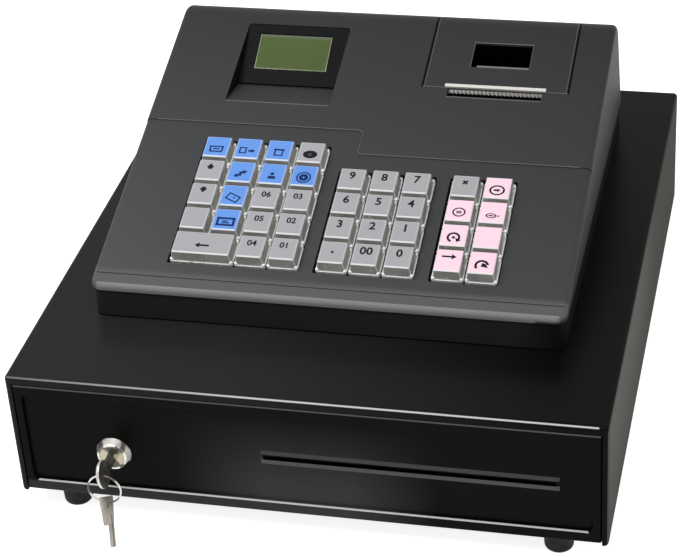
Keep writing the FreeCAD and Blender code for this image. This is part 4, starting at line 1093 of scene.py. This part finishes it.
class REGISTER_OT_lock(bpy.types.Operator):
    """Finishes the lock and its keys, and winds the split ring"""
    bl_idname = "register.lock"
    bl_label = "Lock and keys"

    def execute(self, context):
        colours = context.scene.register_colours
        low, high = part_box("lock_barrel")
        centre = tuple((low + high) / 2)
        along = (1, 1, 6)
        # The collar and the plug carry sectors of painted highlight and painted shade
        assign(turned("lock_chrome", colours.chrome, (0.12, 0.24), centre, 4.0, 0.3), "lock_barrel")
        assign(turned("lock_plug_metal", (0.62, 0.57, 0.40), (0.2, 0.34), centre, 2.0, 0.3), "lock_plug")
        bow = [brushed("bow_nickel", shades(colours.key_metal, 0.88)[0], (0.4, 0.5), along, 0.3),
               brushed("bow_rim", shades(colours.chrome, 0.3)[0], (0.2, 0.3), (1, 1, 1), 0.4),
               brushed("neck_nickel", shades(colours.key_metal, 0.6)[0], (0.4, 0.5), along, 0.3)]
        nickel = brushed("spare_nickel", colours.key_metal, (0.34, 0.46), along, 0.4)
        # Darker metal for the painted shade in the spare key's groove and hole
        groove = moulded("key_groove", shades(colours.key_metal, 0.75)[0], rough=(0.5, 0.6), grain=900.0,
                         depth=0.00001)
        self.standing_key(bow)
        self.hanging_key(nickel, groove)
        self.split_ring(context.scene.register_sizes.wire, shades(colours.chrome, 0.2)[0])
        return {"FINISHED"}

    def split_ring(self, wire, steel_colour):
        """Winds the split ring: two turns of wire, flattened a little, with the split turned away."""
        low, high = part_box("key_ring")
        middle = (low + high) / 2
        thick = (high.y - low.y) / 2
        radius = (high.x - low.x) / 2 - thick
        flatten = 1.5
        turns = 2
        steps = 72 * turns
        advance = 2 * (thick - wire) / steps
        split_turn = math.radians(130)
        mesh = bmesh.new()
        made = bmesh.ops.create_circle(mesh, cap_ends=False, segments=12, radius=wire)
        bmesh.ops.scale(mesh, vec=(flatten, 1, 1), verts=made["verts"])
        bmesh.ops.translate(mesh, vec=(radius, wire - thick, 0), verts=made["verts"])
        bmesh.ops.spin(mesh, geom=mesh.verts[:] + mesh.edges[:], cent=(0, 0, 0), axis=(0, 1, 0),
                       dvec=(0, advance, 0), angle=2 * math.pi * turns, steps=steps, use_merge=False,
                       use_duplicate=False)
        bmesh.ops.holes_fill(mesh, edges=[edge for edge in mesh.edges if edge.is_boundary], sides=0)
        bmesh.ops.recalc_face_normals(mesh, faces=mesh.faces)
        move_all(mesh, Matrix.Translation(middle) @ Matrix.Rotation(split_turn, 4, "Y"))
        # The ring carries sectors of painted highlight and painted shade
        steel = turned("ring_steel", steel_colour, (0.2, 0.3), tuple(middle), 3.0, 0.4)
        add_piece("split_ring", mesh, [steel], body_of_node("key_ring"), ["key_ring"],
                  smooth=40)

    def standing_key(self, metals):
        """Adds the key in the lock: a round dark bow with a bright rim, on a short neck."""
        low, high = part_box("lock_key")
        thick = KEY_THICKNESS / 2
        bow_radius = 0.0098
        bow_centre = 0.0112
        rounding = 0.0002
        neck_low = (-thick, 0.007, -0.0045)
        neck_high = (thick, 0.037, 0.0045)
        lean = math.radians(-10)
        mesh = bmesh.new()
        disc(mesh, Matrix.Translation((thick, 0, 0)) @ Matrix.Rotation(math.pi / 2, 4, "Y"), bow_radius,
             2 * thick, 48, rounding)
        mesh.normal_update()
        for face in mesh.faces:
            face.material_index = 0 if abs(face.normal.x) > CORNER_SHARE + 0.5 else 1
        block(mesh, neck_low, neck_high, rounding, material=2)
        centre = Vector(((low.x + high.x) / 2, low.y + bow_centre, (low.z + high.z) / 2))
        move_all(mesh, Matrix.Translation(centre) @ Matrix.Rotation(lean, 4, "Y"))
        add_piece("standing_key", mesh, metals, body_of_node("lock_key"), ["lock_key"],
                  smooth=30)

    def hanging_key(self, metal, groove):
        """Adds the spare key: a long bow with a hole and a narrow grooved blade at one side; the hole and the
        groove are dark patches of painted shade.
        """
        low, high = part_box("key_ring")
        thick = KEY_THICKNESS / 2
        bow_low = (-thick, -0.0108, -0.0068)
        bow_high = (thick, 0.0088, 0.0068)
        blade_low = (-thick, 0.0075, 0.0008)
        blade_high = (thick, 0.0240, 0.0050)
        blade_side_share = 0.85
        other_side_share = 0.68
        skin = 0.00004
        groove_ends = ((0.0020, 0.0024), (0.0236, 0.0034))
        hole_ends = ((-0.0060, -0.0010), (-0.0030, 0.0006))
        hole_offset = 0.0067
        mesh = bmesh.new()
        block(mesh, bow_low, bow_high, 0.0009)
        for vert in mesh.verts:
            if vert.co.y > 0:
                vert.co.z *= blade_side_share if vert.co.z > 0 else other_side_share
        block(mesh, blade_low, blade_high, 0.0003)
        # Dark patches of painted shade on both faces, in place of the blade's groove and the bow's hole
        for side in (-1, 1):
            for (y0, z0), (y1, z1) in (groove_ends, hole_ends):
                block(mesh, (side * thick - skin, y0, z0), (side * thick + skin, y1, z1), material=1)
        hang = Vector(((low.x + high.x) / 2, (low.y + high.y) / 2, low.z + (high.y - low.y) / 2))
        place = Matrix.Translation(hang)
        for angle, axis in ((-12, "Y"), (-123, "X"), (14, "Y")):
            place = place @ Matrix.Rotation(math.radians(angle), 4, axis)
        move_all(mesh, place @ Matrix.Translation((0, hole_offset, 0)))
        add_piece("hanging_key", mesh, [metal, groove], body_of_node("spare_key"),
                  ["spare_key"], smooth=30)


class REGISTER_OT_printer(bpy.types.Operator):
    """Finishes the printer's roll, roller and tear bar"""
    bl_idname = "register.printer"
    bl_label = "Printer"

    def execute(self, context):
        colours = context.scene.register_colours
        assign(brushed("tear_bar_steel", (0.66, 0.64, 0.60), (0.3, 0.42), (6, 1, 1), 0.3), "tear_bar")
        self.tear_strip(context.scene.register_sizes, colours)
        low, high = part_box("paper_roll")
        middle = (low + high) / 2
        finish = Finish("receipt_paper")
        rings = finish.add("ShaderNodeTexWave", wave_type="RINGS", rings_direction="X")
        rings.inputs["Scale"].default_value = 700.0
        rings.inputs["Distortion"].default_value = 1.2
        finish.link(finish.mapped(place=tuple(-middle)), rings.inputs["Vector"])
        tint = finish.mix(rings.outputs["Fac"], (0.74, 0.74, 0.71), (0.84, 0.84, 0.82))
        rough = finish.spread(finish.noise(500.0), 0.6, 0.75)
        assign(finish.done(tint, rough, finish.bump(finish.noise(900.0), 0.00001)), "paper_roll")
        assign(moulded("roller_rubber", grey(0.012), rough=(0.5, 0.65), grain=700.0, depth=0.00004),
               "platen_roller")
        return {"FINISHED"}

    def tear_strip(self, sizes, colours):
        """Adds the serrated strip that stands out of the lid's front edge, under the tear bar."""
        low, high = deck_box("tear_bar")
        notch_share = 0.35
        front_drop_share = 0.9
        back_drop_share = 0.6
        left = low.x + sizes.tooth
        right = high.x - sizes.tooth
        teeth = round((right - left) / sizes.tooth)
        mesh = bmesh.new()
        made = bmesh.ops.create_grid(mesh, x_segments=2 * teeth, y_segments=1, size=0.5)
        columns = sorted({round(vert.co.x, 5) for vert in made["verts"]})
        for vert in made["verts"]:
            front = vert.co.y < 0
            notch = front and columns.index(round(vert.co.x, 5)) % 2
            x = left + (vert.co.x + 0.5) * (right - left)
            s = low.y - (sizes.strip if front else 0.0) + (sizes.strip * notch_share if notch else 0.0)
            drop_share = front_drop_share if front else back_drop_share
            vert.co = Vector((x, s, low.z - sizes.strip * drop_share))
        made = bmesh.ops.extrude_face_region(mesh, geom=mesh.faces[:])
        verts = [item for item in made["geom"] if isinstance(item, bmesh.types.BMVert)]
        bmesh.ops.translate(mesh, vec=(0, 0, -sizes.chamfer), verts=verts)
        bmesh.ops.recalc_face_normals(mesh, faces=mesh.faces)
        move_all(mesh, DECK)
        steel = brushed("tear_strip_steel", shades(colours.strip, 0.8)[0], (0.22, 0.34), (1, 1, 1), 0.4)
        add_piece("tear_strip", mesh, [steel], body_of_node("printer_lid"))


class REGISTER_OT_board(bpy.types.Operator):
    """Finishes the circuit board"""
    bl_idname = "register.board"
    bl_label = "Circuit board"

    def execute(self, context):
        assign(moulded("board_lacquer", (0.012, 0.09, 0.035), rough=(0.25, 0.4), grain=500.0, depth=0.00003,
                       drift=0.12, over=board_parts), "main_board")
        return {"FINISHED"}


FLOOR_HALF = 6.0
LAMP_TARGET = Vector((0, 0, 0.1))


class REGISTER_OT_stage(bpy.types.Operator):
    """Sets the floor, lights and camera"""
    bl_idname = "register.stage"
    bl_label = "Stage"

    def execute(self, context):
        scene = context.scene
        stage = scene.register_stage
        mesh = bmesh.new()
        bmesh.ops.create_grid(mesh, x_segments=1, y_segments=1, size=FLOOR_HALF)
        data = bpy.data.meshes.new("floor")
        mesh.to_mesh(data)
        mesh.free()
        floor = bpy.data.objects.new("floor", data)
        scene.collection.objects.link(floor)
        material = bpy.data.materials.new("white_floor")
        material.use_nodes = True
        tree = material.node_tree
        shader = tree.nodes["Principled BSDF"]
        shader.inputs["Base Color"].default_value = (0.82, 0.82, 0.82, 1)
        shader.inputs["Roughness"].default_value = 0.9
        shader.inputs["Specular IOR Level"].default_value = 0.0
        shader.inputs["Emission Color"].default_value = (1, 1, 1, 1)
        tree.links.new(self.seen_level(tree, 0.0, stage.floor), shader.inputs["Emission Strength"])
        data.materials.append(material)

        world = bpy.data.worlds.new("Studio")
        world.use_nodes = True
        scene.world = world
        tree = world.node_tree
        background = tree.nodes["Background"]
        background.inputs["Color"].default_value = (1, 1, 1, 1)
        tree.links.new(self.seen_level(tree, stage.sky, 1.0), background.inputs["Strength"])

        self.lamp(scene, "front_lamp", stage.front, place=(-0.35, -0.45, 1.25), width=1.4, depth=0.35)
        self.lamp(scene, "side_lamp", stage.side, place=(1.4, -0.2, 0.5), width=0.7, depth=0.7)

        camera = bpy.data.cameras.new("camera")
        camera.sensor_width = 36.0
        camera.lens = stage.lens
        holder = bpy.data.objects.new("camera", camera)
        holder.location = stage.place
        holder.rotation_euler = stage.turn
        scene.collection.objects.link(holder)
        scene.camera = holder
        scene.view_settings.view_transform = "Standard"
        return {"FINISHED"}

    def seen_level(self, tree, hidden, seen):
        """One level for light on the object, another for what is seen directly, in gloss or through glass."""
        path = tree.nodes.new("ShaderNodeLightPath")
        level = tree.nodes.new("ShaderNodeMapRange")
        level.inputs["To Min"].default_value = hidden
        level.inputs["To Max"].default_value = seen
        ray = path.outputs["Is Camera Ray"]
        for kind in ("Is Glossy Ray", "Is Transmission Ray"):
            either = tree.nodes.new("ShaderNodeMath")
            either.operation = "MAXIMUM"
            tree.links.new(ray, either.inputs[0])
            tree.links.new(path.outputs[kind], either.inputs[1])
            ray = either.outputs[0]
        tree.links.new(ray, level.inputs["Value"])
        return level.outputs["Result"]

    def lamp(self, scene, name, power, place, width, depth):
        """A soft lamp that faces the object's middle."""
        lamp = bpy.data.lights.new(name, "AREA")
        lamp.shape = "RECTANGLE"
        lamp.size = width
        lamp.size_y = depth
        lamp.energy = power
        holder = bpy.data.objects.new(name, lamp)
        holder.location = place
        holder.rotation_euler = (LAMP_TARGET - Vector(place)).to_track_quat("-Z", "Y").to_euler()
        scene.collection.objects.link(holder)


class REGISTER_PT_panel(bpy.types.Panel):
    """Lists the register's pieces and settings"""
    bl_idname = "REGISTER_PT_panel"
    bl_label = "Ticket register"
    bl_space_type = "VIEW_3D"
    bl_region_type = "UI"
    bl_category = "Register"

    def draw(self, context):
        for kind in PIECES:
            self.layout.operator(kind.bl_idname)
        for group in (context.scene.register_sizes, context.scene.register_colours,
                      context.scene.register_stage):
            column = self.layout.column()
            for name in group.bl_rna.properties.keys():
                if name not in ("rna_type", "name"):
                    column.prop(group, name)


GROUPS = {"register_sizes": RegisterSizes, "register_colours": RegisterColours,
          "register_stage": RegisterStage}
PIECES = (REGISTER_OT_drawer, REGISTER_OT_shells, REGISTER_OT_display, REGISTER_OT_keys, REGISTER_OT_lock,
          REGISTER_OT_printer, REGISTER_OT_board, REGISTER_OT_stage)


def register():
    for kind in (*GROUPS.values(), *PIECES, REGISTER_PT_panel):
        bpy.utils.register_class(kind)
    for name, kind in GROUPS.items():
        setattr(bpy.types.Scene, name, PointerProperty(type=kind))


def unregister():
    for name in GROUPS:
        delattr(bpy.types.Scene, name)
    for kind in reversed((*GROUPS.values(), *PIECES, REGISTER_PT_panel)):
        bpy.utils.unregister_class(kind)


def main():
    register()
    for kind in PIECES:
        area, _, word = kind.bl_idname.partition(".")
        getattr(getattr(bpy.ops, area), word)()


if __name__ == "__main__":
    main()
